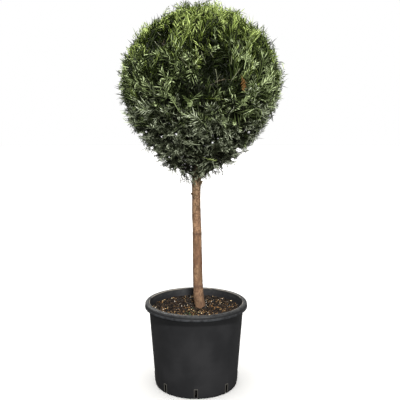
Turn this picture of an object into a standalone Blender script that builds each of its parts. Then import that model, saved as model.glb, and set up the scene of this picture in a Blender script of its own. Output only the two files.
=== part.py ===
"""Leyland cypress grown as a clipped ball on a bare stem, in a round nursery pot.

Metres, +Z up. The origin is the centre of the pot's flat underside, and the front is -Y.
The trunk stands in potting mix, runs up through the crown and carries the boughs. Each bough
ends where it enters a mass of foliage. Each mass keeps to its own cell of the crown, whose four
wavy walls start at the crown's centre. It has one stem, twigs that branch from it by a seeded
rule, sprays of scale leaves on the twigs, and a dense core.
"""

import math
import random
from typing import NamedTuple

import bmesh
import bpy
from mathutils import Matrix, Vector

UPWARD = Vector((0.0, 0.0, 1.0))

# Clearance between pieces that touch
TOUCH = 0.0003

# Pot
POT_HEIGHT = 0.270
RIM_RADIUS = 0.165
WALL_TOP_RADIUS = 0.1523
FOOT_RADIUS = 0.133
WALL = 0.0024
FLOOR = 0.004
FOOT_BEVEL = 0.002
LIP_DROP = 0.0165
LIP_WALL = 0.0030
LIP_ROUND = 0.005
LIP_ROUND_STEPS = 3
BRIM_BEVEL = 0.001
POT_SEGMENTS = 48
SLOT_COUNT = 8
SLOT_WIDTH = 0.0075
SLOT_HEIGHT = 0.028
SLOT_DEPTH = 0.012
SLOT_OVERRUN = 0.004

# Potting mix
SOIL_EDGE_Z = 0.244
SOIL_CROWN_Z = 0.250
SOIL_ROUGHNESS = 0.0008
SOIL_WAVES = (97.0, 83.0, 151.0)
SOIL_LEVEL_RADIUS = 0.052
SOIL_RINGS = 5
SOIL_SEGMENTS = 24

# Trunk: (x, y, z, radius) at each station, from the flat cut at the mix to the tip
FOOT_Z = SOIL_CROWN_Z + TOUCH
TRUNK_STATIONS = (
    (0.0145, 0.0000, FOOT_Z, 0.0182),
    (0.0112, 0.0004, 0.268, 0.0162),
    (0.0082, 0.0010, 0.296, 0.0151),
    (0.0058, 0.0020, 0.360, 0.0141),
    (0.0045, 0.0032, 0.435, 0.0134),
    (0.0026, 0.0036, 0.510, 0.0129),
    (0.0004, 0.0028, 0.590, 0.0124),
    (0.0014, 0.0012, 0.655, 0.0126),
    (0.0048, 0.0000, 0.715, 0.0112),
    (0.0090, -0.0014, 0.820, 0.0088),
    (0.0130, 0.0006, 0.950, 0.0062),
    (0.0160, 0.0000, 1.078, 0.0034),
)
TRUNK_STEPS = 2
TRUNK_SIDES = 12
FLARE_LOBES = 5
FLARE_SHARE = 0.10
FLARE_HEIGHT = 0.030

# Snags left where side shoots were pruned: height of the root, then (x, y, z) of the tip, then
# the radii of root and tip
SNAGS = (
    (0.628, (0.0232, -0.0020, 0.6585), 0.0050, 0.0034),
    (0.600, (-0.0152, -0.0030, 0.6195), 0.0030, 0.0021),
)
SNAG_SIDES = 7

# Crown outline, a solid of revolution whose axis leans to +X
CROWN_CENTRE = Vector((0.012, 0.0, 0.930))
CROWN_LEAN = 0.045
CROWN_RADIUS = 0.254
CROWN_WIDEST_Z = 0.960
CROWN_TOP_Z = 1.203
CROWN_FOOT_Z = 0.655
CROWN_FOOT_POWER = 0.82
FURTHEST_REACH = 1.03

# Elevations where the topmost mass starts, and where the hole for the trunk starts
CAP_ELEVATION = 58.0
HOLE_ELEVATION = -81.0

# Cells of the crown: tier name, masses, first mass's middle azimuth, lowest and highest elevation
LOWER, MIDDLE, UPPER, CAP = "lower", "middle", "upper", "cap"
TIERS = (
    (LOWER, 6, 0.0, HOLE_ELEVATION, -19.0),
    (MIDDLE, 6, -90.0, -19.0, 18.0),
    (UPPER, 5, -54.0, 18.0, CAP_ELEVATION),
)

# Waves of the walls between the cells, in degrees
TIER_WAVE = 4.5
TIER_WAVE_COUNT = 3
TIER_WAVE_TURN = 7.0
SIDE_WAVE = 7.0
SIDE_WAVE_TURN = 5.0



class BoughRule(NamedTuple):
    """How the boughs of one tier grow. Every other one starts a stagger higher.

    The tip is at an elevation, in degrees, and at a share of the reach to the outline.
    """

    root_z: float
    stagger: float
    elevation: float
    reach: float
    root_radius: float
    tip_radius: float


BOUGHS = {
    LOWER: BoughRule(0.660, 0.012, -79.5, 0.88, 0.0047, 0.0034),
    MIDDLE: BoughRule(0.806, 0.022, -3.0, 0.60, 0.0042, 0.0028),
    UPPER: BoughRule(0.918, 0.020, 34.0, 0.60, 0.0035, 0.0025),
}
BOUGH_SAG = 0.06
BOUGH_SWAY = 0.04
BOUGH_STEPS = 4
BOUGH_SIDES = 6

# Cores of the masses, as shares of the distance from the crown's centre to its outline. The gap
# to a cell's walls is in degrees
CORE_OUTER = 0.885
CORE_INNER = 0.72
CORE_EDGE_DROP = 0.04
CORE_TUFTS = (0.025, 0.075)
CORE_TUFT_LEAN = (0.1, 0.4)
CORE_ROUGHNESS = 0.012
CORE_GAP = 0.42
CORE_COLUMNS = 5
CORE_ROWS = 4
CAP_CORE_SEGMENTS = 16
CAP_CORE_RINGS = 4
CAP_RING_POWER = 0.6

# Twigs and sprays. A reach is a share of the way to the outline
STEM_FORWARD = 0.012
STEM_TAPER = (1.0, 0.92, 0.70)
FORK_REACH = 0.77
TWIG_REACH = 0.83
TWIG_RADIUS = 0.0020
TWIG_SIDES = 3
LOW_TWIG_POWER = 2.0
TWIGS = {LOWER: 8, MIDDLE: 7, UPPER: 7, CAP: 10}
TWIG_SPREAD_ACROSS = 0.86
TWIG_SPREAD_UP = 0.88
TWIG_JITTER = 0.03
SPRAY_ROOT_REACH = 0.81
SPRAY_TIP_REACH = (0.965, 1.01)
STRAY_TIP_REACH = 1.027
STRAY_SHARE = 0.10
SPRAY_LENGTHS = (0.030, 0.085)
SPRAY_USUAL_LENGTH = 0.045
SPRAY_WIDTHS = (0.0247, 0.0319)
SPRAY_THICKNESS = 0.0018
SPRAY_TRIES = 14
SPRAY_TILT = 28.0
SIDE_SPRAY_TURN = 36.0
UPWARD_PULL = 0.30
CELL_MARGIN = 0.0012
LIMB_MARGIN = 0.0020
GOLDEN_SHARE = (math.sqrt(5.0) - 1.0) / 2.0

# Outlines of the two sprays: shares of the length along, and of the width across
TERMINAL_SPRAY = (
    (0.00, -0.05),
    (0.34, -0.07),
    (0.62, -0.50),
    (0.64, -0.15),
    (0.90, -0.30),
    (0.82, -0.05),
    (1.00, 0.04),
    (0.66, 0.14),
    (0.74, 0.46),
    (0.34, 0.07),
    (0.00, 0.05),
)
SIDE_SPRAY = (
    (0.00, -0.05),
    (0.62, -0.48),
    (0.64, -0.12),
    (1.00, 0.00),
    (0.74, 0.14),
    (0.76, 0.50),
    (0.00, 0.05),
)


def direction_at(azimuth, elevation):
    """The way at an azimuth and an elevation, in degrees."""
    turn, rise = math.radians(azimuth), math.radians(elevation)
    level = math.cos(rise)
    return Vector((level * math.cos(turn), level * math.sin(turn), math.sin(rise)))


def tier_wall(elevation, azimuth):
    """The elevation of a wavy wall between two tiers, at an azimuth. All are in degrees."""
    if elevation == HOLE_ELEVATION or elevation == 90.0:
        return elevation
    turn = math.radians(TIER_WAVE_COUNT * azimuth + TIER_WAVE_TURN * elevation)
    return elevation + TIER_WAVE * math.sin(turn)


def side_shift(elevation):
    """How far the side walls stand aside at an elevation, in degrees of azimuth."""
    return SIDE_WAVE * math.sin(math.radians(SIDE_WAVE_TURN * elevation))


class Cell(NamedTuple):
    """The space of one mass, in degrees round the crown's centre. A full turn wide is the cap."""

    name: str
    tier: str
    azimuth: float
    width: float
    low: float
    high: float

    def is_cap(self):
        return self.width >= 360.0

    def direction(self, across, up, gap=0.0):
        """The way to a point of the cell, with across and up each from 0 to 1 and even in area.

        A gap, in degrees, is kept to the walls.
        """
        elevation = (self.low + self.high) / 2
        for _ in range(4):
            side_gap = 0.0 if self.is_cap() else gap / math.cos(math.radians(elevation))
            turned = (across - 0.5) * (self.width - 2 * side_gap)
            azimuth = self.azimuth + turned + side_shift(elevation)
            low = tier_wall(self.low, azimuth) + gap
            high = tier_wall(self.high, azimuth) - (0.0 if self.is_cap() else gap)
            low_sine, high_sine = math.sin(math.radians(low)), math.sin(math.radians(high))
            elevation = math.degrees(math.asin(low_sine + up * (high_sine - low_sine)))
        return direction_at(azimuth, elevation)

    def margin(self, point):
        """How far a point lies inside the cell's walls. It is negative outside."""
        offset = point - CROWN_CENTRE
        level = math.hypot(offset.x, offset.y)
        elevation = math.degrees(math.atan2(offset.z, level))
        azimuth = math.degrees(math.atan2(offset.y, offset.x))
        above = elevation - tier_wall(self.low, azimuth)
        if self.is_cap():
            return offset.length * math.sin(math.radians(above))
        below = tier_wall(self.high, azimuth) - elevation
        turn = azimuth - side_shift(elevation) - self.azimuth
        aside = abs((turn + 180.0) % 360.0 - 180.0)
        return min(
            offset.length * math.sin(math.radians(above)),
            offset.length * math.sin(math.radians(below)),
            level * math.sin(math.radians(self.width / 2 - aside)),
        )


def clear_scene():
    for obj in list(bpy.data.objects):
        bpy.data.objects.remove(obj)


def finish(name, colour, roughness):
    """A non-metallic material with one colour, given in linear light."""
    made = bpy.data.materials.new(name)
    made.use_nodes = True
    shader = made.node_tree.nodes["Principled BSDF"]
    shader.inputs["Base Color"].default_value = (*colour, 1.0)
    shader.inputs["Roughness"].default_value = roughness
    shader.inputs["Metallic"].default_value = 0.0
    made.diffuse_color = (*colour, 1.0)
    return made


def object_from(bm, name, material=None, smooth=False):
    """A new object in the scene from a bmesh, which is freed."""
    bmesh.ops.recalc_face_normals(bm, faces=bm.faces)
    mesh = bpy.data.meshes.new(name)
    bm.to_mesh(mesh)
    bm.free()
    if smooth:
        mesh.shade_smooth()
        mesh.set_sharp_from_angle(angle=math.radians(40.0))
    if material:
        mesh.materials.append(material)
    obj = bpy.data.objects.new(name, mesh)
    bpy.context.scene.collection.objects.link(obj)
    return obj


def make_helper(obj):
    """Marks an object as a cutter, which is not a piece of the plant."""
    obj.hide_render = True
    obj.display_type = "WIRE"


def boolean(obj, operation, other):
    """Adds a Boolean with one object or a collection of them."""
    modifier = obj.modifiers.new(operation.title(), "BOOLEAN")
    modifier.operation = operation
    modifier.solver = "EXACT"
    if isinstance(other, bpy.types.Collection):
        modifier.operand_type = "COLLECTION"
        modifier.collection = other
    else:
        modifier.object = other


def smooth_stations(stations, steps):
    """Catmull-Rom points through the stations, with the given steps between each two."""
    padded = [stations[0], *stations, stations[-1]]
    points = []
    for before, start, end, after in zip(padded, padded[1:], padded[2:], padded[3:]):
        for step in range(steps):
            t = step / steps
            points.append(
                tuple(
                    0.5 * (2 * b + (c - a) * t + (2 * a - 5 * b + 4 * c - d) * t**2
                           + (3 * b - a - 3 * c + d) * t**3)
                    for a, b, c, d in zip(before, start, end, after)
                )
            )
    return [*points, stations[-1]]


def tube(stations, sides, level_foot=False, shape=None):
    """A closed bmesh round (x, y, z, radius) stations, with flat ends.

    With level_foot the first ring is level. shape(angle, point) scales the radius.
    """
    bm = bmesh.new()
    points = [Vector(s[:3]) for s in stations]
    rings = []
    across = None
    for i, point in enumerate(points):
        along = (points[min(i + 1, len(points) - 1)] - points[max(i - 1, 0)]).normalized()
        if i == 0 and level_foot:
            along = UPWARD
        if across is None:
            across = along.orthogonal()
        across = (across - along * across.dot(along)).normalized()
        beside = along.cross(across)
        ring = []
        for k in range(sides):
            angle = 2 * math.pi * k / sides
            radius = stations[i][3] * (shape(angle, point) if shape else 1.0)
            spoke = across * math.cos(angle) + beside * math.sin(angle)
            ring.append(bm.verts.new(point + spoke * radius))
        rings.append(ring)
    for lower, upper in zip(rings, rings[1:]):
        for k in range(sides):
            n = (k + 1) % sides
            bm.faces.new((lower[k], lower[n], upper[n], upper[k]))
    bm.faces.new(rings[0])
    bm.faces.new(rings[-1])
    return bm


def trunk_at(height):
    """The trunk's centre at a height."""
    path = smooth_stations(TRUNK_STATIONS, TRUNK_STEPS)
    for low, high in zip(path, path[1:]):
        if low[2] <= height <= high[2]:
            t = (height - low[2]) / (high[2] - low[2])
            return Vector(low[:3]).lerp(Vector(high[:3]), t)
    raise ValueError(f"the trunk has no height {height}")


def crown_radius(height):
    """The outline's radius at a height: a half ellipsoid above, a rounded cone below."""
    if height >= CROWN_WIDEST_Z:
        share = (height - CROWN_WIDEST_Z) / (CROWN_TOP_Z - CROWN_WIDEST_Z)
        return CROWN_RADIUS * math.sqrt(max(0.0, 1.0 - share * share))
    share = (CROWN_WIDEST_Z - height) / (CROWN_WIDEST_Z - CROWN_FOOT_Z)
    return CROWN_RADIUS * max(0.0, 1.0 - share * share) ** CROWN_FOOT_POWER


def outline_reach(direction):
    """The distance from the crown's centre to its outline that way."""
    inside, outside = 0.0, 2 * CROWN_RADIUS
    for _ in range(24):
        middle = (inside + outside) / 2
        point = CROWN_CENTRE + direction * middle
        axis_x = CROWN_CENTRE.x + CROWN_LEAN * (point.z - CROWN_CENTRE.z)
        if math.hypot(point.x - axis_x, point.y) < crown_radius(point.z):
            inside = middle
        else:
            outside = middle
    return inside


def crown_point(direction, share):
    """The point at a share of the way from the crown's centre to its outline."""
    return CROWN_CENTRE + direction * (share * outline_reach(direction))


def crown_cells():
    cells = []
    for tier, count, first, low, high in TIERS:
        for i in range(count):
            azimuth = first + 360.0 * i / count
            cells.append(Cell(f"{tier}_{i + 1}", tier, azimuth, 360.0 / count, low, high))
    cells.append(Cell("top", CAP, 0.0, 360.0, CAP_ELEVATION, 90.0))
    return cells


def pot_profile():
    """The pot's section as (radius, height) points, from the underside's centre outwards."""
    lip_inside = RIM_RADIUS - LIP_WALL
    lip_foot = POT_HEIGHT - LIP_DROP
    shoulder = POT_HEIGHT - LIP_WALL
    points = [
        (0.0, 0.0),
        (FOOT_RADIUS - FOOT_BEVEL, 0.0),
        (FOOT_RADIUS, FOOT_BEVEL),
        (WALL_TOP_RADIUS, lip_foot),
        (WALL_TOP_RADIUS, shoulder),
        (lip_inside, shoulder),
        (lip_inside, lip_foot),
        (RIM_RADIUS, lip_foot),
    ]
    for step in range(LIP_ROUND_STEPS + 1):
        turn = math.pi / 2 * step / LIP_ROUND_STEPS
        points.append(
            (
                RIM_RADIUS - LIP_ROUND * (1 - math.cos(turn)),
                POT_HEIGHT - LIP_ROUND * (1 - math.sin(turn)),
            )
        )
    return [*points, *pot_inside()]


def pot_inside():
    """The inner wall and floor, from the brim down to the floor's centre."""
    return [
        (WALL_TOP_RADIUS - WALL + BRIM_BEVEL, POT_HEIGHT),
        (WALL_TOP_RADIUS - WALL, POT_HEIGHT - BRIM_BEVEL),
        (FOOT_RADIUS - WALL, FLOOR),
        (0.0, FLOOR),
    ]


def turned(profile, segments):
    """A closed bmesh turned round Z from a section whose ends are on the axis."""
    bm = bmesh.new()
    verts = [bm.verts.new((radius, 0.0, height)) for radius, height in profile]
    edges = [bm.edges.new(pair) for pair in zip(verts, verts[1:])]
    bmesh.ops.spin(
        bm,
        geom=verts + edges,
        cent=(0.0, 0.0, 0.0),
        axis=(0.0, 0.0, 1.0),
        angle=2 * math.pi,
        steps=segments,
        use_merge=True,
    )
    bmesh.ops.remove_doubles(bm, verts=bm.verts, dist=1e-6)
    return bm


def slot_cutter():
    """One object with a block for each drainage slot, which opens wall, floor edge and underside."""
    bm = bmesh.new()
    for i in range(SLOT_COUNT):
        turn = Matrix.Rotation(2 * math.pi * i / SLOT_COUNT - math.pi / 2, 4, "Z")
        reach = SLOT_DEPTH + SLOT_OVERRUN
        height = SLOT_HEIGHT + SLOT_OVERRUN
        middle = Matrix.Translation(
            (FOOT_RADIUS + SLOT_OVERRUN - reach / 2, 0.0, SLOT_HEIGHT - height / 2)
        )
        size = Matrix.Diagonal((reach, SLOT_WIDTH, height, 1.0))
        bmesh.ops.create_cube(bm, size=1.0, matrix=turn @ middle @ size)
    cutter = object_from(bm, "slot_cutter")
    make_helper(cutter)
    return cutter


def make_pot():
    plastic = finish("black_plastic", (0.024, 0.024, 0.026), 0.55)
    pot = object_from(turned(pot_profile(), POT_SEGMENTS), "pot", plastic, smooth=True)
    boolean(pot, "DIFFERENCE", slot_cutter())


def soil_height(x, y):
    """The mix's surface: mounded to the trunk, level round its foot, slightly rough elsewhere."""
    foot_x, foot_y = TRUNK_STATIONS[0][:2]
    if math.hypot(x - foot_x, y - foot_y) < SOIL_LEVEL_RADIUS:
        return SOIL_CROWN_Z
    share = min(1.0, math.hypot(x, y) / WALL_TOP_RADIUS)
    wave_x, wave_y, wave_slant = SOIL_WAVES
    rough = math.sin(wave_x * x) * math.cos(wave_y * y) + math.sin(wave_slant * (x + y))
    return SOIL_CROWN_Z + (SOIL_EDGE_Z - SOIL_CROWN_Z) * share**2 + SOIL_ROUGHNESS * rough


def inner_wall_flat(height):
    """The inner wall's radius at a height, at the middle of one of its flats."""
    (_, (top_radius, top), (foot_radius, foot), _) = pot_inside()
    radius = foot_radius + (top_radius - foot_radius) * (height - foot) / (top - foot)
    return radius * math.cos(math.pi / POT_SEGMENTS)


def make_soil():
    """The potting mix, which fills the pot from its floor to just under the brim."""
    mix = finish("potting_mix", (0.045, 0.024, 0.012), 0.95)
    low = FLOOR + TOUCH
    foot_radius = inner_wall_flat(low) - TOUCH
    edge_radius = inner_wall_flat(SOIL_EDGE_Z - 4 * SOIL_ROUGHNESS) - TOUCH
    profile = [(0.0, low), (foot_radius, low)]
    for ring in range(SOIL_RINGS, -1, -1):
        profile.append((edge_radius * ring / SOIL_RINGS, SOIL_EDGE_Z))
    bm = turned(profile, SOIL_SEGMENTS)
    for vert in bm.verts:
        if vert.co.z > SOIL_EDGE_Z - TOUCH:
            vert.co.z = soil_height(vert.co.x, vert.co.y)
    object_from(bm, "potting_mix", mix, smooth=True)


def flare(angle, point):
    """Lobes of the root flare, which die out above the mix."""
    share = max(0.0, 1.0 - (point.z - FOOT_Z) / FLARE_HEIGHT)
    return 1.0 + FLARE_SHARE * share**2 * math.cos(FLARE_LOBES * angle)


def make_trunk(bark):
    """Makes the trunk with its pruned snags. Gives a wider copy, which cuts the boughs' roots."""
    path = smooth_stations(TRUNK_STATIONS, TRUNK_STEPS)
    trunk = object_from(
        tube(path, TRUNK_SIDES, level_foot=True, shape=flare), "trunk", bark, smooth=True
    )
    for height, tip, root_radius, tip_radius in SNAGS:
        root = (*trunk_at(height), root_radius)
        snag = object_from(tube([root, (*tip, tip_radius)], SNAG_SIDES), "snag_shape")
        make_helper(snag)
        boolean(trunk, "UNION", snag)
    wider = [(*s[:3], s[3] + TOUCH) for s in path]
    cutter = object_from(tube(wider, TRUNK_SIDES), "trunk_clearance")
    make_helper(cutter)
    return cutter


def bough_path(cell, index):
    """Stations of a bough, from the trunk's centre line out to its tip, sagging a little."""
    rule = BOUGHS[cell.tier]
    odd = index % 2
    root = trunk_at(rule.root_z + rule.stagger * odd)
    tip = crown_point(direction_at(cell.azimuth, rule.elevation), rule.reach)
    span = tip - root
    side = span.cross(UPWARD).normalized()
    stations = []
    for step in range(BOUGH_STEPS + 1):
        t = step / BOUGH_STEPS
        arch = 4 * t * (1 - t) * span.length
        sway = side * (arch * (BOUGH_SWAY if odd else -BOUGH_SWAY))
        point = root + span * t + sway - UPWARD * (arch * BOUGH_SAG)
        radius = rule.root_radius + (rule.tip_radius - rule.root_radius) * t
        stations.append((*point, radius))
    return stations


def make_bough(cell, index, bark, trunk_cutter):
    stations = bough_path(cell, index)
    bough = object_from(tube(stations, BOUGH_SIDES), f"bough_{cell.name}", bark, smooth=True)
    boolean(bough, "DIFFERENCE", trunk_cutter)
    return stations


def core_share(across, up, rng):
    """How far out the core's outer side lies, lower towards the cell's edges."""
    edge = max(abs(2 * across - 1), abs(2 * up - 1))
    return CORE_OUTER - CORE_EDGE_DROP * edge**3 + rng.uniform(-1, 1) * CORE_ROUGHNESS


def add_tuft(bm, corners, rng):
    """Covers a patch of the core's outer side with a low peak that leans up."""
    middle = sum((vert.co for vert in corners), Vector()) / len(corners) - CROWN_CENTRE
    peak = middle * (1 + rng.uniform(*CORE_TUFTS))
    toward = corners[rng.choice((-1, -2))].co - CROWN_CENTRE
    peak += (toward - middle) * rng.uniform(*CORE_TUFT_LEAN)
    vert = bm.verts.new(CROWN_CENTRE + peak)
    for near, far in zip(corners, corners[1:] + corners[:1]):
        bm.faces.new((near, far, vert))


def close_inside(bm, rim, pole):
    """Closes a core from its outer side's rim to one point on its inner side."""
    inner = []
    for vert in rim:
        way = (vert.co - CROWN_CENTRE).normalized()
        inner.append(bm.verts.new(crown_point(way, CORE_INNER)))
    for k in range(len(rim)):
        n = (k + 1) % len(rim)
        bm.faces.new((rim[k], rim[n], inner[n], inner[k]))
        bm.faces.new((inner[k], inner[n], pole))


def patch_core(cell, rng):
    """The dense inside of a mass: a thick patch of the crown, as a closed bmesh."""
    bm = bmesh.new()
    sheet = []
    for row in range(CORE_ROWS + 1):
        line = []
        for column in range(CORE_COLUMNS + 1):
            across, up = column / CORE_COLUMNS, row / CORE_ROWS
            way = cell.direction(across, up, CORE_GAP)
            line.append(bm.verts.new(crown_point(way, core_share(across, up, rng))))
        sheet.append(line)
    for low, high in zip(sheet, sheet[1:]):
        for k in range(CORE_COLUMNS):
            add_tuft(bm, [low[k], low[k + 1], high[k + 1], high[k]], rng)
    rim = [*sheet[0], *[line[-1] for line in sheet[1:]]]
    rim += [*reversed(sheet[-1][:-1]), *[line[0] for line in reversed(sheet[1:-1])]]
    pole = bm.verts.new(crown_point(cell.direction(0.5, 0.5), CORE_INNER))
    close_inside(bm, rim, pole)
    return bm


def cap_core(cell, rng):
    """The dense inside of the topmost mass: a round pad over the trunk's tip."""
    bm = bmesh.new()
    top = bm.verts.new(crown_point(UPWARD, CORE_OUTER))
    rings = []
    for ring in range(CAP_CORE_RINGS):
        up = 1.0 - (ring + 1) / CAP_CORE_RINGS
        line = []
        for k in range(CAP_CORE_SEGMENTS):
            way = cell.direction(k / CAP_CORE_SEGMENTS, up**CAP_RING_POWER, CORE_GAP)
            line.append(bm.verts.new(crown_point(way, core_share(0.5, up / 2, rng))))
        rings.append(line)
    for k in range(CAP_CORE_SEGMENTS):
        n = (k + 1) % CAP_CORE_SEGMENTS
        add_tuft(bm, [rings[0][k], rings[0][n], top], rng)
        for near, far in zip(rings, rings[1:]):
            add_tuft(bm, [far[k], far[n], near[n], near[k]], rng)
    close_inside(bm, rings[-1], bm.verts.new(crown_point(UPWARD, CORE_INNER)))
    return bm


def blade(outline, root, along, face, length, width):
    """A flat toothed blade as a closed bmesh, from its root along its axis."""
    across = along.cross(face).normalized()
    flat = along.cross(across).normalized() * (SPRAY_THICKNESS / 2)
    bm = bmesh.new()
    sheets = []
    for side in (1, -1):
        sheets.append(
            [
                bm.verts.new(root + along * (u * length) + across * (v * width) + flat * side)
                for u, v in outline
            ]
        )
    bm.faces.new(sheets[0])
    bm.faces.new(list(reversed(sheets[1])))
    count = len(outline)
    for k in range(count):
        n = (k + 1) % count
        bm.faces.new((sheets[0][k], sheets[1][k], sheets[1][n], sheets[0][n]))
    return bm


def segment_distance(point, start, end):
    span = end - start
    t = max(0.0, min(1.0, (point - start).dot(span) / span.length_squared))
    return (point - start - span * t).length


def is_clear(point, cell, limbs):
    """True if a point keeps to its cell and to the outline, and stays off every limb."""
    if cell.margin(point) < CELL_MARGIN:
        return False
    offset = point - CROWN_CENTRE
    if offset.length > FURTHEST_REACH * outline_reach(offset.normalized()):
        return False
    for stations in limbs:
        for low, high in zip(stations, stations[1:]):
            gap = max(low[3], high[3]) + LIMB_MARGIN
            if segment_distance(point, Vector(low[:3]), Vector(high[:3])) < gap:
                return False
    return True


def spray_at(root, heading, shape, cell, limbs, rng):
    """A spray that keeps to its cell, or None where every try leaves it."""
    for _ in range(SPRAY_TRIES):
        tilt = Matrix.Rotation(
            math.radians(rng.uniform(-SPRAY_TILT, SPRAY_TILT)), 3, heading.orthogonal()
        )
        spin = Matrix.Rotation(rng.uniform(0, 2 * math.pi), 3, heading)
        along = (spin @ (tilt @ heading)).normalized()
        face = (spin @ heading.orthogonal()).normalized()
        face = (face - along * face.dot(along)).normalized()
        tip_reach = rng.uniform(*SPRAY_TIP_REACH)
        if rng.random() < STRAY_SHARE:
            tip_reach = STRAY_TIP_REACH
        way = (root + along * SPRAY_USUAL_LENGTH - CROWN_CENTRE).normalized()
        length = (crown_point(way, tip_reach) - root).length
        if not SPRAY_LENGTHS[0] < length < SPRAY_LENGTHS[1]:
            continue
        bm = blade(shape, root, along, face, length, rng.uniform(*SPRAY_WIDTHS))
        if all(is_clear(vert.co, cell, limbs) for vert in bm.verts):
            return bm
        bm.free()
    return None


def twig_aims(cell, count, rng):
    """Ways to the twigs' ends, spread evenly over the cell by the golden ratio."""
    for i in range(count):
        across = (GOLDEN_SHARE * (i + 1)) % 1.0
        up = ((i + 0.5) / count) ** (LOW_TWIG_POWER if cell.tier == LOWER else 1.0)
        across = 0.5 + (across - 0.5) * TWIG_SPREAD_ACROSS + rng.uniform(-TWIG_JITTER, TWIG_JITTER)
        up = 0.5 + (up - 0.5) * TWIG_SPREAD_UP + rng.uniform(-TWIG_JITTER, TWIG_JITTER)
        yield cell.direction(across, up)


def stem_stations(cell, limb):
    """The stem's stations, from just beyond its bough's or the trunk's tip to the fork."""
    before, tip = (Vector(s[:3]) for s in limb[-2:])
    heading = (tip - before).normalized()
    start = tip + heading * TOUCH
    middle = UPWARD if cell.is_cap() else cell.direction(0.5, 0.5)
    points = (start, start + heading * STEM_FORWARD, crown_point(middle, FORK_REACH))
    return [(*point, limb[-1][3] * taper) for point, taper in zip(points, STEM_TAPER)]


def make_mass(cell, limb, limbs, leaf):
    """One mass of foliage: core, stem, twigs and sprays joined into one closed solid."""
    rng = random.Random(f"mass {cell.name}")
    core = cap_core(cell, rng) if cell.is_cap() else patch_core(cell, rng)
    mass = object_from(core, f"foliage_{cell.name}", leaf)
    shapes = bpy.data.collections.new(f"shapes_{cell.name}")
    bpy.context.scene.collection.children.link(shapes)
    stem = stem_stations(cell, limb)
    pieces = [tube(stem, BOUGH_SIDES)]
    fork = Vector(stem[-1][:3])
    for way in twig_aims(cell, TWIGS[cell.tier], rng):
        end = crown_point(way, TWIG_REACH)
        pieces.append(tube([(*fork, TWIG_RADIUS * 1.5), (*end, TWIG_RADIUS)], TWIG_SIDES))
        heading = (way + UPWARD * UPWARD_PULL).normalized()
        root = crown_point(way, SPRAY_ROOT_REACH)
        pieces.append(spray_at(root, heading, TERMINAL_SPRAY, cell, limbs, rng))
        turn = SIDE_SPRAY_TURN if rng.random() < 0.5 else -SIDE_SPRAY_TURN
        leaning = Matrix.Rotation(math.radians(turn), 3, heading.orthogonal()) @ heading
        leaning = Matrix.Rotation(rng.uniform(0, 2 * math.pi), 3, heading) @ leaning
        pieces.append(spray_at(root, leaning, SIDE_SPRAY, cell, limbs, rng))
    for piece in filter(None, pieces):
        obj = object_from(piece, "shape")
        bpy.context.scene.collection.objects.unlink(obj)
        shapes.objects.link(obj)
    boolean(mass, "UNION", shapes)
    apply_modifiers(mass)
    for obj in list(shapes.objects):
        bpy.data.objects.remove(obj)
    bpy.data.collections.remove(shapes)
    keep_largest_shell(mass)


def apply_modifiers(obj):
    graph = bpy.context.evaluated_depsgraph_get()
    mesh = bpy.data.meshes.new_from_object(obj.evaluated_get(graph))
    obj.modifiers.clear()
    obj.data = mesh


def keep_largest_shell(obj):
    """Drops loose scraps and fills sealed hollows, by keeping the shell with the most faces."""
    bm = bmesh.new()
    bm.from_mesh(obj.data)
    unseen = set(bm.faces)
    shells = []
    while unseen:
        shell, edge = set(), [unseen.pop()]
        while edge:
            face = edge.pop()
            shell.add(face)
            for link in face.edges:
                for other in link.link_faces:
                    if other in unseen:
                        unseen.remove(other)
                        edge.append(other)
        shells.append(shell)
    largest = max(shells, key=len)
    scraps = [face for shell in shells if shell is not largest for face in shell]
    bmesh.ops.delete(bm, geom=scraps, context="FACES")
    bm.to_mesh(obj.data)
    bm.free()


def main():
    clear_scene()
    bark = finish("bark", (0.30, 0.155, 0.080), 0.85)
    leaf = finish("scale_leaves", (0.060, 0.115, 0.028), 0.70)
    make_pot()
    make_soil()
    trunk_cutter = make_trunk(bark)
    cells = crown_cells()
    trunk_limb = smooth_stations(TRUNK_STATIONS, TRUNK_STEPS)
    limbs = {}
    for i, cell in enumerate(cells):
        limbs[cell.name] = (
            trunk_limb if cell.is_cap() else make_bough(cell, i, bark, trunk_cutter)
        )
    for cell in cells:
        make_mass(cell, limbs[cell.name], list(limbs.values()) + [trunk_limb], leaf)


main()
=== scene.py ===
"""Looks of the potted leyland cypress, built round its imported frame.

Metres, +Z up, front at -Y, origin at the centre of the pot's flat underside. The pot, the potting
mix and the bark are modelled with Blender's own tools. The twigs and the sprays grow on from the
boughs by the rule of the part's source, carried to finer twigs within the same reach, and are
joined from arrays.
"""

import logging
import math
from collections.abc import Iterator, Sequence
from contextlib import contextmanager
from dataclasses import dataclass, field
from enum import Enum
from itertools import product

import bpy
import numpy as np
from mathutils import Matrix, Vector, noise

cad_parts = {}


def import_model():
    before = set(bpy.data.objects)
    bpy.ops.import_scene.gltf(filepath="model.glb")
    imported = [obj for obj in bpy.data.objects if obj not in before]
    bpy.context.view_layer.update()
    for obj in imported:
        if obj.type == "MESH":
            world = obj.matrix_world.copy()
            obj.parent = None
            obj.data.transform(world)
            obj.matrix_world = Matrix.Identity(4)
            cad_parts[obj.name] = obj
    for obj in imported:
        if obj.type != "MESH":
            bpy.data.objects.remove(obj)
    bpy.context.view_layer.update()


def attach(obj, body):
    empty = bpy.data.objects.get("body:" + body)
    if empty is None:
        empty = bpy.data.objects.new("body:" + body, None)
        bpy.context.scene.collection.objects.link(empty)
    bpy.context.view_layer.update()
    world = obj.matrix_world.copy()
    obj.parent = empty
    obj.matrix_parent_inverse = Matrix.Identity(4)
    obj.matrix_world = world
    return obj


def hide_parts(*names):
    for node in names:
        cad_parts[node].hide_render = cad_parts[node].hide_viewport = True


LOG = logging.getLogger("cypress")

Colour = tuple[float, float, float]
Point = tuple[float, float, float]
Array = np.ndarray
# Places to read a value between, and the value at each
Bands = tuple[tuple[float, ...], tuple[float, ...]]

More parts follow.
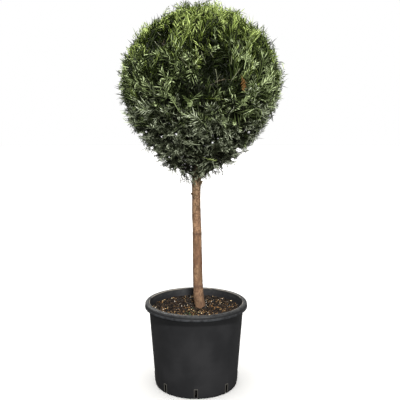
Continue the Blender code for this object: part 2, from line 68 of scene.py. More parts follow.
# How near two heights are to count as one
TOUCH = 0.0005
# Edges of bark that turn by less than this, in degrees, are shaded smooth
BARK_SOFT_ANGLE = 70.0

UPWARD = np.array((0.0, 0.0, 1.0))
GOLDEN_SHARE = (math.sqrt(5.0) - 1.0) / 2.0


class Slot(Enum):
    """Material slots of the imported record."""

    PLASTIC = "plastic"
    MIX = "mix"
    BARK = "bark"
    FOLIAGE = "foliage"


# Helpers for modelling as by hand


def deselect_everything() -> None:
    """Leaves no object selected."""
    bpy.ops.object.select_all(action="DESELECT")


def take(obj: bpy.types.Object) -> None:
    """Makes one object the only selected one, and the active one."""
    deselect_everything()
    obj.select_set(True)
    bpy.context.view_layer.objects.active = obj


@contextmanager
def edit_mode(obj: bpy.types.Object) -> Iterator[None]:
    """Edit mode on one object, with all of its mesh selected at the start."""
    take(obj)
    bpy.ops.object.mode_set(mode="EDIT")
    bpy.ops.mesh.select_all(action="SELECT")
    yield
    bpy.ops.object.mode_set(mode="OBJECT")


def face_outwards(obj: bpy.types.Object) -> None:
    """Turns every face of a closed mesh outwards."""
    with edit_mode(obj):
        bpy.ops.mesh.normals_make_consistent(inside=False)


def apply_place(obj: bpy.types.Object) -> None:
    """Moves an object's place, turn and scale into its mesh."""
    take(obj)
    bpy.ops.object.transform_apply(location=True, rotation=True, scale=True)


def apply_modifiers(obj: bpy.types.Object) -> None:
    """Applies an object's modifiers, in order."""
    take(obj)
    for modifier in list(obj.modifiers):
        bpy.ops.object.modifier_apply(modifier=modifier.name)


def shade(obj: bpy.types.Object, degrees: float) -> None:
    """Shades an object smooth, with edges sharper than the angle left crisp."""
    take(obj)
    bpy.ops.object.shade_smooth_by_angle(angle=math.radians(degrees))


def join(pieces: Sequence[bpy.types.Object], name: str) -> bpy.types.Object:
    """Joins objects into one.

    Args:
        pieces: objects to join, of which the first stays.
        name: the joined object's name.

    Returns:
        The joined object.
    """
    deselect_everything()
    for piece in pieces:
        piece.select_set(True)
    bpy.context.view_layer.objects.active = pieces[0]
    bpy.ops.object.join()
    pieces[0].name = name
    return pieces[0]


def subtract(obj: bpy.types.Object, cutter: bpy.types.Object) -> None:
    """Cuts one closed mesh out of another, and removes the cutter."""
    cut = obj.modifiers.new("cut", "BOOLEAN")
    cut.operation = "DIFFERENCE"
    cut.solver = "EXACT"
    cut.object = cutter
    apply_modifiers(obj)
    bpy.data.objects.remove(cutter)


def extrude_through(section: Sequence[tuple[float, float]], sides: int) -> bpy.types.Object:
    """Models a closed turned form by pulling a disc through (radius, height) points.

    Args:
        section: the outline from the centre of the underside to the centre of the last face.
        sides: how many sides the form has.

    Returns:
        The new object, with its place in its mesh and its faces outwards.
    """
    deselect_everything()
    radius, height = section[0]
    bpy.ops.mesh.primitive_circle_add(
        vertices=sides, radius=radius, fill_type="NGON", location=(0.0, 0.0, height)
    )
    form = bpy.context.object
    apply_place(form)
    with edit_mode(form):
        for (near, low), (far, high) in zip(section, section[1:]):
            bpy.ops.mesh.extrude_region_move(
                TRANSFORM_OT_translate={"value": (0.0, 0.0, high - low)}
            )
            bpy.ops.transform.resize(value=(far / near, far / near, 1.0))
    face_outwards(form)
    return form


def add_block(size: Point, place: Point) -> bpy.types.Object:
    """Adds a block of a size at a place, with both in its mesh."""
    deselect_everything()
    bpy.ops.mesh.primitive_cube_add(size=1.0, location=place)
    block = bpy.context.object
    block.scale = size
    apply_place(block)
    return block


def turned_copy(obj: bpy.types.Object, degrees: float) -> bpy.types.Object:
    """A copy with its own mesh, turned round the pot's axis."""
    copy = obj.copy()
    copy.data = obj.data.copy()
    bpy.context.scene.collection.objects.link(copy)
    copy.data.transform(Matrix.Rotation(math.radians(degrees), 4, "Z"))
    return copy


def points_of(obj: bpy.types.Object) -> Array:
    """The mesh's points, one row each."""
    places = np.empty(len(obj.data.vertices) * 3)
    obj.data.vertices.foreach_get("co", places)
    return places.reshape(-1, 3)


def move_points(obj: bpy.types.Object, points: Array) -> None:
    """Moves the mesh's points to new places."""
    obj.data.vertices.foreach_set("co", points.ravel())
    obj.data.update()


def normals_of(obj: bpy.types.Object) -> Array:
    """The outward way at each point of the mesh."""
    ways = np.empty(len(obj.data.vertices) * 3, np.float32)
    obj.data.vertex_normals.foreach_get("vector", ways)
    return ways.reshape(-1, 3).astype(float)


def settle(
    obj: bpy.types.Object, slot: Slot, materials: Sequence[bpy.types.Material], *nodes: str
) -> None:
    """Dresses a finished piece and fixes it to the part.

    Args:
        obj: the piece.
        slot: the record's slot that its finish comes from; not used.
        materials: its materials, in the order of its faces' slots.
        nodes: nodes of the frame that it stands for.
    """
    for material in materials:
        obj.data.materials.append(material)
    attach(obj, "root")
    if nodes:
        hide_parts(*nodes)
    obj.data.calc_loop_triangles()
    LOG.info("%s: %d triangles", obj.name, len(obj.data.loop_triangles))


# Helpers for joined meshes from arrays


def unit(ways: Array) -> Array:
    """Each row scaled to a length of one."""
    return ways / np.linalg.norm(ways, axis=-1, keepdims=True)


def between(span: tuple[float, float], share: float) -> float:
    """The value at a share of the way from one end of a span to the other."""
    return span[0] + (span[1] - span[0]) * share


def across(ways: Array) -> Array:
    """A unit way at a right angle to each unit way."""
    helper = np.where(np.abs(ways[..., 2:3]) < 0.8, UPWARD, np.array((1.0, 0.0, 0.0)))
    return unit(np.cross(ways, helper))


@dataclass
class Bundle:
    """Many small closed shapes that are joined into one mesh."""

    points: list[Array] = field(default_factory=list)
    triangles: list[Array] = field(default_factory=list)
    slots: list[Array] = field(default_factory=list)
    count: int = 0

    def add(self, points: Array, triangles: Array, slots: Array | int = 0) -> None:
        """Adds shapes that share one pattern of triangles.

        Args:
            points: the points of each shape, as (shapes, points, 3).
            triangles: the pattern, as (triangles, 3) numbers of a shape's points.
            slots: the material slot of each shape, or of all.
        """
        shapes, size = points.shape[:2]
        starts = self.count + size * np.arange(shapes)
        self.points.append(points.reshape(-1, 3))
        self.triangles.append((starts[:, None, None] + triangles).reshape(-1, 3))
        spread = np.broadcast_to(np.asarray(slots), (shapes,))
        self.slots.append(np.repeat(spread, len(triangles)))
        self.count += shapes * size

    def build(self, name: str, smooth: bool) -> bpy.types.Object:
        """Makes the joined mesh.

        Args:
            name: the new object's name.
            smooth: if its faces are shaded smooth.

        Returns:
            The new object.
        """
        points = np.concatenate(self.points).astype(np.float32)
        corners = np.concatenate(self.triangles).astype(np.int32)
        mesh = bpy.data.meshes.new(name)
        mesh.vertices.add(len(points))
        mesh.vertices.foreach_set("co", points.ravel())
        mesh.loops.add(corners.size)
        mesh.loops.foreach_set("vertex_index", corners.ravel())
        mesh.polygons.add(len(corners))
        mesh.polygons.foreach_set("loop_start", np.arange(0, corners.size, 3, dtype=np.int32))
        mesh.polygons.foreach_set("material_index", np.concatenate(self.slots).astype(np.int32))
        mesh.polygons.foreach_set("use_smooth", np.full(len(corners), smooth))
        mesh.update(calc_edges=True)
        obj = bpy.data.objects.new(name, mesh)
        bpy.context.scene.collection.objects.link(obj)
        return obj


def add_tubes(bundle: Bundle, paths: Array, radii: Array, sides: int, slots: Array | int) -> None:
    """Adds closed tapering tubes.

    Args:
        bundle: where they go.
        paths: the stations of each tube, as (tubes, stations, 3).
        radii: the radius at each station, as (tubes, stations).
        sides: how many sides a tube has.
        slots: the material slot of each tube, or of all.
    """
    along = unit(np.gradient(paths, axis=1))
    aside = np.repeat(across(along[:, :1]), paths.shape[1], axis=1)
    aside = unit(aside - along * np.sum(aside * along, axis=-1, keepdims=True))
    beside = np.cross(along, aside)
    turns = 2 * math.pi * np.arange(sides) / sides
    spokes = aside[:, :, None] * np.cos(turns)[:, None]
    spokes = spokes + beside[:, :, None] * np.sin(turns)[:, None]
    rings = paths[:, :, None] + spokes * radii[:, :, None, None]
    stations = paths.shape[1]
    pattern = []
    for low in range(0, (stations - 1) * sides, sides):
        for k in range(sides):
            n = (k + 1) % sides
            pattern.append((low + k, low + n, low + sides + n))
            pattern.append((low + k, low + sides + n, low + sides + k))
    top = (stations - 1) * sides
    for k in range(1, sides - 1):
        pattern.append((0, k + 1, k))
        pattern.append((top, top + k, top + k + 1))
    bundle.add(rings.reshape(len(paths), -1, 3), np.array(pattern), slots)


def bent_paths(start: Array, middle: Array, end: Array, steps: int) -> Array:
    """Smooth paths from start to end, drawn towards the middle, as (paths, steps + 1, 3)."""
    t = np.linspace(0.0, 1.0, steps + 1)[None, :, None]
    return (
        (1 - t) ** 2 * start[:, None] + 2 * t * (1 - t) * middle[:, None] + t**2 * end[:, None]
    )


# Finishes


# Sockets of the node that mixes colours, several of which share one name
MIX_SHARE, MIX_LOW, MIX_HIGH, MIX_RESULT = 0, 6, 7, 2

VALUE_SOCKET = "NodeSocketFloat"
VECTOR_SOCKET = "NodeSocketVector"


@dataclass(frozen=True)
class Wiring:
    """Adds nodes to a tree, with their inputs given by name."""

    tree: bpy.types.NodeTree

    def feed(self, end: bpy.types.NodeSocket, value: object) -> None:
        """Links another node's output to an input, or sets the input to a plain value."""
        if isinstance(value, bpy.types.NodeSocket):
            self.tree.links.new(value, end)
        else:
            end.default_value = value

    def add(self, kind: str, inputs: dict[str, object], **settings: object) -> bpy.types.Node:
        """Adds a node.

        Args:
            kind: the node's type.
            inputs: a value or another node's output for each named input.
            settings: the node's own settings.

        Returns:
            The new node.
        """
        node = self.tree.nodes.new(kind)
        for name, value in settings.items():
            setattr(node, name, value)
        for name, value in inputs.items():
            self.feed(node.inputs[name], value)
        return node

    def blend(self, share: object, low: object, high: object) -> bpy.types.NodeSocket:
        """Mixes two colours, given plain or as outputs, by a share."""
        node = self.add("ShaderNodeMix", {}, data_type="RGBA")
        self.feed(node.inputs[MIX_SHARE], share)
        for end, colour in ((MIX_LOW, low), (MIX_HIGH, high)):
            self.feed(node.inputs[end], (*colour, 1.0) if isinstance(colour, tuple) else colour)
        return node.outputs[MIX_RESULT]

    def ramp(
        self, value: object, span: tuple[float, float, float, float]
    ) -> bpy.types.NodeSocket:
        """Maps a value from one span (low, high) to another, clamped."""
        names = ("From Min", "From Max", "To Min", "To Max")
        inputs = {"Value": value, **dict(zip(names, span))}
        return self.add("ShaderNodeMapRange", inputs).outputs["Result"]

    def rise(self, value: object, low: float, high: float) -> bpy.types.NodeSocket:
        """A mask that rises from 0 at the low value to 1 at the high one."""
        return self.ramp(value, (low, high, 0.0, 1.0))

    def fall(self, value: object, low: float, high: float) -> bpy.types.NodeSocket:
        """A mask that falls from 1 at the low value to 0 at the high one."""
        return self.ramp(value, (low, high, 1.0, 0.0))

    def times(self, first: object, second: object) -> bpy.types.NodeSocket:
        """Multiplies two values."""
        return self.calculate("MULTIPLY", first, second)

    def calculate(self, operation: str, first: object, second: object) -> bpy.types.NodeSocket:
        """Combines two values, given plain or as outputs, by an operation."""
        node = self.add("ShaderNodeMath", {}, operation=operation)
        for end, value in zip(node.inputs, (first, second)):
            self.feed(end, value)
        return node.outputs[0]


class Effects:
    """Shader groups that more than one finish uses."""

    def __init__(self) -> None:
        """Builds each group once."""
        self.mottle = self.make_mottle()
        self.relief = self.make_relief()
        self.dust = self.make_dust()

    @staticmethod
    def start(
        name: str, values: Sequence[str], result: str, kind: str
    ) -> tuple[Wiring, object, bpy.types.NodeSocket]:
        """Starts a group with a vector input, value inputs and one result.

        Args:
            name: the group's name.
            values: the names of its value inputs.
            result: the name of its result.
            kind: the type of its result's socket.

        Returns:
            Its wiring, its inputs by name and the end that takes its result.
        """
        tree = bpy.data.node_groups.new(name, "ShaderNodeTree")
        tree.interface.new_socket("Vector", in_out="INPUT", socket_type=VECTOR_SOCKET)
        for value in values:
            tree.interface.new_socket(value, in_out="INPUT", socket_type=VALUE_SOCKET)
        tree.interface.new_socket(result, in_out="OUTPUT", socket_type=kind)
        wiring = Wiring(tree)
        given = wiring.add("NodeGroupInput", {}).outputs
        return wiring, given, wiring.add("NodeGroupOutput", {}).inputs[result]

    def make_mottle(self) -> bpy.types.NodeTree:
        """Cloudy patches as a mask, with a low and a high edge."""
        names = ("Scale", "Detail", "Low", "High")
        wiring, given, mask = self.start("mottle", names, "Mask", VALUE_SOCKET)
        inputs = {name: given[name] for name in ("Vector", "Scale", "Detail")}
        cloud = wiring.add("ShaderNodeTexNoise", inputs).outputs["Fac"]
        inputs = {"Value": cloud, "From Min": given["Low"], "From Max": given["High"]}
        edge = wiring.add("ShaderNodeMapRange", inputs, interpolation_type="SMOOTHSTEP")
        wiring.feed(mask, edge.outputs["Result"])
        return wiring.tree

    def make_relief(self) -> bpy.types.NodeTree:
        """Fine grain that only tilts the surface."""
        names = ("Scale", "Strength", "Depth")
        wiring, given, normal = self.start("fine_relief", names, "Normal", VECTOR_SOCKET)
        inputs = {name: given[name] for name in ("Vector", "Scale")}
        inputs |= {"Detail": 3.0, "Roughness": 0.6}
        grain = wiring.add("ShaderNodeTexNoise", inputs).outputs["Fac"]
        inputs = {"Height": grain, "Strength": given["Strength"], "Distance": given["Depth"]}
        wiring.feed(normal, wiring.add("ShaderNodeBump", inputs).outputs["Normal"])
        return wiring.tree

    def make_dust(self) -> bpy.types.NodeTree:
        """Dust that settles on faces that look up, thicker in cloudy patches."""
        names = ("Scale", "Amount")
        wiring, given, mask = self.start("settled_dust", names, "Mask", VALUE_SOCKET)
        facing = wiring.add("ShaderNodeNewGeometry", {}).outputs["Normal"]
        ways = wiring.add("ShaderNodeSeparateXYZ", {"Vector": facing})
        inputs = {name: given[name] for name in ("Vector", "Scale")}
        inputs |= {"Detail": 5.0, "Roughness": 0.7}
        cloud = wiring.add("ShaderNodeTexNoise", inputs).outputs["Fac"]
        upward = wiring.rise(ways.outputs["Z"], -0.1, 0.9)
        settled = wiring.times(upward, wiring.rise(cloud, 0.42, 0.72))
        wiring.feed(mask, wiring.times(settled, given["Amount"]))
        return wiring.tree


@dataclass(frozen=True)
class Mottle:
    """Cloudy patches: their scale and detail, and the low and high edges of their mask."""

    scale: float
    detail: float
    low: float
    high: float


@dataclass(frozen=True)
class Relief:
    """Fine grain in a surface: its scale, strength and depth."""

    scale: float
    strength: float
    depth: float


@dataclass(frozen=True)
class Finish:
    """A material in the making, with its shader and its Object coordinates."""

    material: bpy.types.Material
    wiring: Wiring
    shader: bpy.types.Node
    place: bpy.types.NodeSocket

    @classmethod
    def start(cls, name: str) -> "Finish":
        """Starts a material of a name."""
        material = bpy.data.materials.new(name)
        material.use_nodes = True
        wiring = Wiring(material.node_tree)
        place = wiring.add("ShaderNodeTexCoord", {}).outputs["Object"]
        return cls(material, wiring, material.node_tree.nodes["Principled BSDF"], place)

    def effect(self, group: bpy.types.NodeTree, vector: object, **inputs: object) -> bpy.types.Node:
        """Places a shared effect, on the Object coordinates where it is given no vector."""
        named = {name.capitalize(): value for name, value in inputs.items()}
        named["Vector"] = self.place if vector is None else vector
        return self.wiring.add("ShaderNodeGroup", named, node_tree=group)

    def mottle(
        self, effects: Effects, patches: Mottle, vector: object = None
    ) -> bpy.types.NodeSocket:
        """The mask of cloudy patches."""
        return self.effect(effects.mottle, vector, **vars(patches)).outputs["Mask"]

    def height(self) -> bpy.types.NodeSocket:
        """The height above the floor."""
        return self.wiring.add("ShaderNodeSeparateXYZ", {"Vector": self.place}).outputs["Z"]

    def radius(self) -> bpy.types.NodeSocket:
        """The distance from the pot's axis."""
        inputs = {"Vector": self.place, "Scale": (1.0, 1.0, 0.0)}
        level = self.wiring.add("ShaderNodeMapping", inputs)
        length = self.wiring.add("ShaderNodeVectorMath", {}, operation="LENGTH")
        self.wiring.feed(length.inputs[0], level.outputs["Vector"])
        return length.outputs["Value"]

    def surface(
        self, effects: Effects, relief: Relief, vector: object = None, **inputs: object
    ) -> bpy.types.Material:
        """Feeds the shader.

        Args:
            effects: the shared shader groups.
            relief: the grain that tilts the surface.
            vector: the coordinates of the grain, where they aren't the Object coordinates.
            inputs: the shader's other inputs, by name with low lines for spaces.

        Returns:
            The material.
        """
        grain = self.effect(effects.relief, vector, **vars(relief))
        self.wiring.feed(self.shader.inputs["Normal"], grain.outputs["Normal"])
        for name, value in inputs.items():
            self.wiring.feed(self.shader.inputs[name.replace("_", " ")], value)
        return self.material


@dataclass(frozen=True)
class MouldedPlastic:
    """Black nursery plastic: faintly cloudy and fine-grained, with a dusty rim; the lip's scuffed
    bead and worn brim edge carry painted highlights, and the slots painted shade.
    """

    dark: Colour = (0.0105, 0.0108, 0.0118)
    light: Colour = (0.0150, 0.0152, 0.0165)
    dust: Colour = (0.048, 0.049, 0.047)
    # Scuffs on the lip's lower bead, lighter in part as a painted highlight
    scuff: Colour = (0.026, 0.028, 0.031)
    # Chalky wear on the brim's inner edge, lighter in part as a painted highlight
    chalk: Colour = (0.190, 0.172, 0.148)
    clouds: Mottle = Mottle(11.0, 3.0, 0.38, 0.66)
    scuffs: Mottle = Mottle(60.0, 6.0, 0.30, 0.62)
    wear: Mottle = Mottle(35.0, 5.0, 0.34, 0.60)
    grain: Relief = Relief(700.0, 0.25, 0.0004)
    dust_scale: float = 90.0
    dust_amount: float = 0.9
    dust_fade: float = 0.003
    rim_heights: tuple[float, float] = (0.2535, 0.2700)
    rim_overhang: tuple[float, float] = (0.006, 0.008)
    bead_height: float = 0.0062
    bead_fade: float = 0.0008
    brim_radius: float = 0.1499
    brim_width: float = 0.0022
    brim_fade_share: float = 0.6
    brim_below_top: tuple[float, float] = (0.0022, 0.0008)
    # Near-black inside the drainage slots: painted shade in the recess, with some dirt
    slot_dirt: Colour = (0.0012, 0.0011, 0.0010)
    slot_span: tuple[float, float] = (0.0035, 0.0325)
    slot_inside: tuple[float, float] = (0.0009, 0.0006)
    edge_fade: float = 0.001
    wall_lean: float = 0.077
    wall_foot_radius: float = 0.13277
    specular: float = 0.13
    roughness: tuple[float, float] = (0.50, 0.64)

    def build(self, name: str, effects: Effects) -> bpy.types.Material:
        """Makes the material.

        Args:
            name: its name.
            effects: the shared shader groups.

        Returns:
            The material.
        """
        finish = Finish.start(name)
        wiring, height, radius = finish.wiring, finish.height(), finish.radius()
        foot, top = self.rim_heights
        near, far = (self.brim_radius + overhang for overhang in self.rim_overhang)
        on_rim = wiring.rise(height, foot - self.edge_fade, foot)
        on_rim = wiring.times(on_rim, wiring.rise(radius, near, far))
        bead_top = foot + self.bead_height
        on_bead = wiring.times(wiring.fall(height, bead_top, bead_top + self.bead_fade), on_rim)
        clouds = finish.mottle(effects, self.clouds)
        colour = wiring.blend(clouds, self.dark, self.light)
        # Scuffs on the lip's lower bead, partly real scuffs and partly a painted highlight where
        # light catches the bead
        scuffed_and_lit_bead = wiring.times(finish.mottle(effects, self.scuffs), on_bead)
        colour = wiring.blend(scuffed_and_lit_bead, colour, self.scuff)
        dust = finish.effect(effects.dust, None, scale=self.dust_scale, amount=self.dust_amount)
        upper = wiring.rise(height, foot, foot + self.dust_fade)
        colour = wiring.blend(wiring.times(dust.outputs["Mask"], upper), colour, self.dust)
        # A thin pale line on the brim's inner edge: partly chalky wear, partly a painted highlight
        # where light catches the edge
        brim = self.brim_radius + self.brim_width
        edge = wiring.fall(radius, self.brim_radius + self.brim_width * self.brim_fade_share, brim)
        near, far = (top - drop for drop in self.brim_below_top)
        on_lit_brim_edge = wiring.times(edge, wiring.rise(height, near, far))
        worn = wiring.times(finish.mottle(effects, self.wear), on_lit_brim_edge)
        colour = wiring.blend(worn, colour, self.chalk)
        # Inside the drainage slots the wall is made near-black: painted shade in the recess, with
        # some dirt
        upright = wiring.calculate("SUBTRACT", radius, wiring.times(height, self.wall_lean))
        near, far = (self.wall_foot_radius - depth for depth in self.slot_inside)
        low, high = self.slot_span
        in_slot = wiring.rise(height, low - self.edge_fade, low)
        in_slot = wiring.times(wiring.fall(upright, near, far), in_slot)
        in_slot = wiring.times(in_slot, wiring.fall(height, high, high + self.edge_fade))
        return finish.surface(
            effects, self.grain,
            Base_Color=wiring.blend(in_slot, colour, self.slot_dirt),
            Roughness=wiring.ramp(clouds, (0.0, 1.0, *self.roughness)),
            Specular_IOR_Level=self.specular,
        )


@dataclass(frozen=True)
class ThinBark:
    """Thin stringy bark: orange-brown with tan and dark streaks, and an olive tinge in patches;
    paler under the crown as painted light and darker at the foot as painted shade.
    """

    tan: Colour = (0.290, 0.178, 0.100)
    orange: Colour = (0.115, 0.057, 0.030)
    dark: Colour = (0.036, 0.019, 0.011)
    olive: Colour = (0.085, 0.075, 0.034)
    broad: Mottle = Mottle(62.0, 4.0, 0.36, 0.64)
    streaks: Mottle = Mottle(210.0, 6.0, 0.50, 0.70)
    flecks: Mottle = Mottle(190.0, 2.0, 0.45, 0.58)
    patches: Mottle = Mottle(13.0, 3.0, 0.48, 0.66)
    fibres: Relief = Relief(300.0, 0.85, 0.0016)
    streak_share: float = 0.75
    fleck_share: float = 0.85
    olive_share: float = 0.40
    stretch: float = 0.30
    scar: Colour = (0.052, 0.027, 0.016)
    scar_share: float = 0.80
    scar_heights: tuple[float, ...] = (0.490, 0.320)
    scar_width: float = 0.0100
    # Paler bark high on the stem, where the crown shades it: painted light
    crown_tint: Colour = (0.540, 0.345, 0.203)
    crown_span: tuple[float, float, float, float] = (0.460, 0.640, 0.0, 0.62)
    # Darker bark towards the foot of the stem: painted shade
    foot_tint: Colour = (0.085, 0.044, 0.026)
    foot_span: tuple[float, float, float, float] = (0.252, 0.480, 0.62, 0.0)
    specular: float = 0.30
    roughness: tuple[float, float] = (0.86, 0.70)

    def build(self, name: str, effects: Effects) -> bpy.types.Material:
        """Makes the material.

        Args:
            name: its name.
            effects: the shared shader groups.

        Returns:
            The material.
        """
        finish = Finish.start(name)
        wiring, height = finish.wiring, finish.height()
        inputs = {"Vector": finish.place, "Scale": (1.0, 1.0, self.stretch)}
        grain = wiring.add("ShaderNodeMapping", inputs).outputs["Vector"]
        broad = finish.mottle(effects, self.broad, grain)
        colour = wiring.blend(broad, self.orange, self.tan)
        # Painted light: paler towards the crown
        colour = wiring.blend(wiring.ramp(height, self.crown_span), colour, self.crown_tint)
        layers = (
            (self.flecks, None, self.fleck_share, self.orange),
            (self.patches, None, self.olive_share, self.olive),
            (self.streaks, grain, self.streak_share, self.dark),
        )
        for patches, vector, share, tint in layers:
            mask = finish.mottle(effects, patches, vector)
            colour = wiring.blend(wiring.times(mask, share), colour, tint)
        for middle in self.scar_heights:
            above = wiring.fall(height, middle, middle + self.scar_width)
            below = wiring.rise(height, middle - self.scar_width, middle)
            scarred = wiring.times(wiring.times(above, below), self.scar_share)
            colour = wiring.blend(scarred, colour, self.scar)
        return finish.surface(
            effects, self.fibres, grain,
            # Painted shade: darker towards the foot
            Base_Color=wiring.blend(wiring.ramp(height, self.foot_span), colour, self.foot_tint),
            Roughness=wiring.ramp(broad, (0.0, 1.0, *self.roughness)),
            Specular_IOR_Level=self.specular,
        )


@dataclass(frozen=True)
class GroundMix:
    """Damp dark humus between the chips, kept plain dark below its top as painted shade inside the
    pot.
    """

    dark: Colour = (0.0045, 0.0032, 0.0026)
    light: Colour = (0.022, 0.013, 0.008)
    crumbs: Mottle = Mottle(240.0, 6.0, 0.42, 0.70)
    lumps: Relief = Relief(320.0, 0.9, 0.0020)
    # Crumbs show only on the top; below this height the humus is kept plain dark as painted shade
    lit_from_z: float = 0.232
    lit_fade: float = 0.004
    roughness: tuple[float, float] = (0.95, 0.75)

    def build(self, name: str, effects: Effects) -> bpy.types.Material:
        """Makes the material of a name with the shared shader groups."""
        finish = Finish.start(name)
        wiring = finish.wiring
        crumbs = finish.mottle(effects, self.crumbs)
        top = wiring.rise(finish.height(), self.lit_from_z, self.lit_from_z + self.lit_fade)
        return finish.surface(
            effects, self.lumps,
            Base_Color=wiring.blend(wiring.times(crumbs, top), self.dark, self.light),
            Roughness=wiring.ramp(crumbs, (0.0, 1.0, *self.roughness)),
        )


@dataclass(frozen=True)
class PlainTint:
    """One plain colour of many small pieces, with fine grain in its gloss and relief."""

    colour: Colour
    roughness: tuple[float, float] = (0.42, 0.62)
    specular: float = 0.30
    patches: Mottle = Mottle(140.0, 2.0, 0.3, 0.7)
    grain: Relief = Relief(420.0, 0.5, 0.0006)

    def build(self, name: str, effects: Effects) -> bpy.types.Material:
        """Makes the material of a name with the shared shader groups."""
        finish = Finish.start(name)
        patches = finish.mottle(effects, self.patches)
        return finish.surface(
            effects, self.grain,
            Base_Color=(*self.colour, 1.0),
            Roughness=finish.wiring.ramp(patches, (0.0, 1.0, *self.roughness)),
            Specular_IOR_Level=self.specular,
        )


# Studio


@dataclass(frozen=True)
class SoftLight:
    """A far light, on the floor alone or on all else, with its width and place in degrees."""

    name: str
    power: float
    width: float
    elevation: float
    azimuth: float
    on_floor: bool = False
    colour: Colour = (1.0, 0.985, 0.955)

    def build(self, floor: bpy.types.Object) -> None:
        """Makes the light, linked to the studio's floor."""
        lamp = bpy.data.lights.new(self.name, "SUN")
        lamp.energy = self.power
        lamp.angle = math.radians(self.width)
        lamp.color = self.colour
        sun = bpy.data.objects.new(self.name, lamp)
        rise, turn = math.radians(self.elevation), math.radians(self.azimuth)
        level = math.cos(rise)
        way = Vector((level * math.cos(turn), level * math.sin(turn), math.sin(rise)))
        sun.rotation_euler = way.to_track_quat("Z", "Y").to_euler()
        bpy.context.scene.collection.objects.link(sun)
        receivers = bpy.data.collections.new(f"{self.name}_receivers")
        receivers.objects.link(floor)
        sun.light_linking.receiver_collection = receivers
        link = receivers.collection_objects[0].light_linking
        link.link_state = "INCLUDE" if self.on_floor else "EXCLUDE"


@dataclass(frozen=True)
class Studio:
    """The camera, a pale floor and soft light."""

    lens_mm: float = 50.0
    sensor_mm: float = 36.0
    camera_place: Point = (0.0125, -1.75, 0.80)
    camera_pitch: float = 6.6
    floor_radius: float = 40.0
    floor_below: float = 0.0004
    floor_colour: Colour = (0.46, 0.46, 0.46)
    floor_cloud: float = 0.98
    floor_bounce: Colour = (0.11, 0.11, 0.11)
    floor_insets: tuple[float, ...] = (0.5, 0.25, 0.1)
    sky_colour: Colour = (0.95, 0.98, 1.0)
    sky_light: float = 0.15
    sky_top_light: float = 0.52
    lights: tuple[SoftLight, ...] = (
        SoftLight("key_light", 5.5, 6.0, 54.0, -86.0),
        SoftLight("front_light", 3.2, 8.0, 22.0, -80.0),
        SoftLight("rear_light", 2.6, 25.0, 38.0, 112.0),
        SoftLight("floor_light", 9.0, 120.0, 88.0, -90.0, True),
    )

    def build(self) -> None:
        """Makes the camera, the lights, the world and the floor."""
        self.add_camera()
        self.add_world()
        floor = self.add_floor()
        for light in self.lights:
            light.build(floor)
        view = bpy.context.scene.view_settings
        view.view_transform = "Standard"
        view.look = "None"

    def add_camera(self) -> None:
        """The camera stands where the photograph was taken from."""
        lens = bpy.data.cameras.new("camera")
        lens.lens = self.lens_mm
        lens.sensor_width = self.sensor_mm
        lens.clip_start = 0.01
        camera = bpy.data.objects.new("camera", lens)
        camera.location = self.camera_place
        camera.rotation_euler = (math.radians(90.0 - self.camera_pitch), 0.0, 0.0)
        bpy.context.scene.collection.objects.link(camera)
        bpy.context.scene.camera = camera

    def add_world(self) -> None:
        """A white backdrop that lights softly, more from above than from the side."""
        world = bpy.data.worlds.new("studio")
        bpy.context.scene.world = world
        world.use_nodes = True
        wiring = Wiring(world.node_tree)
        light = world.node_tree.nodes["Background"]
        ways = wiring.add("ShaderNodeTexCoord", {}).outputs["Generated"]
        rise = wiring.add("ShaderNodeSeparateXYZ", {"Vector": ways}).outputs["Z"]
        strength = wiring.ramp(rise, (0.0, 1.0, self.sky_light, self.sky_top_light))
        wiring.feed(light.inputs["Color"], (*self.sky_colour, 1.0))
        wiring.feed(light.inputs["Strength"], strength)
        seen = wiring.add("ShaderNodeBackground", {"Color": (1.0, 1.0, 1.0, 1.0), "Strength": 1.0})
        camera_ray = wiring.add("ShaderNodeLightPath", {}).outputs["Is Camera Ray"]
        mix = wiring.add("ShaderNodeMixShader", {})
        for end, value in zip(mix.inputs, (camera_ray, light.outputs[0], seen.outputs[0])):
            wiring.feed(end, value)
        output = world.node_tree.nodes["World Output"]
        wiring.feed(output.inputs["Surface"], mix.outputs[0])

    def add_floor(self) -> bpy.types.Object:
        """Adds a wide pale floor, just below the pot's underside."""
        deselect_everything()
        bpy.ops.mesh.primitive_circle_add(
            vertices=96, radius=self.floor_radius, fill_type="NGON",
            location=(0.0, 0.0, -self.floor_below),
        )
        floor = bpy.context.object
        floor.name = "floor"
        apply_place(floor)
        with edit_mode(floor):
            for share in self.floor_insets:
                bpy.ops.mesh.inset(thickness=self.floor_radius * share)
        finish = Finish.start("pale_floor")
        wiring, ends = finish.wiring, finish.shader.inputs
        inputs = {"Vector": finish.place, "Scale": 3.0, "Detail": 2.0}
        cloud = wiring.add("ShaderNodeTexNoise", inputs).outputs["Fac"]
        low = tuple(self.floor_cloud * share for share in self.floor_colour)
        seen = wiring.add("ShaderNodeLightPath", {}).outputs["Is Camera Ray"]
        shown = wiring.blend(cloud, low, self.floor_colour)
        wiring.feed(ends["Base Color"], wiring.blend(seen, self.floor_bounce, shown))
        wiring.feed(ends["Roughness"], 1.0)
        wiring.feed(ends["Specular IOR Level"], 0.0)
        floor.data.materials.append(finish.material)
        return floor


# Pot


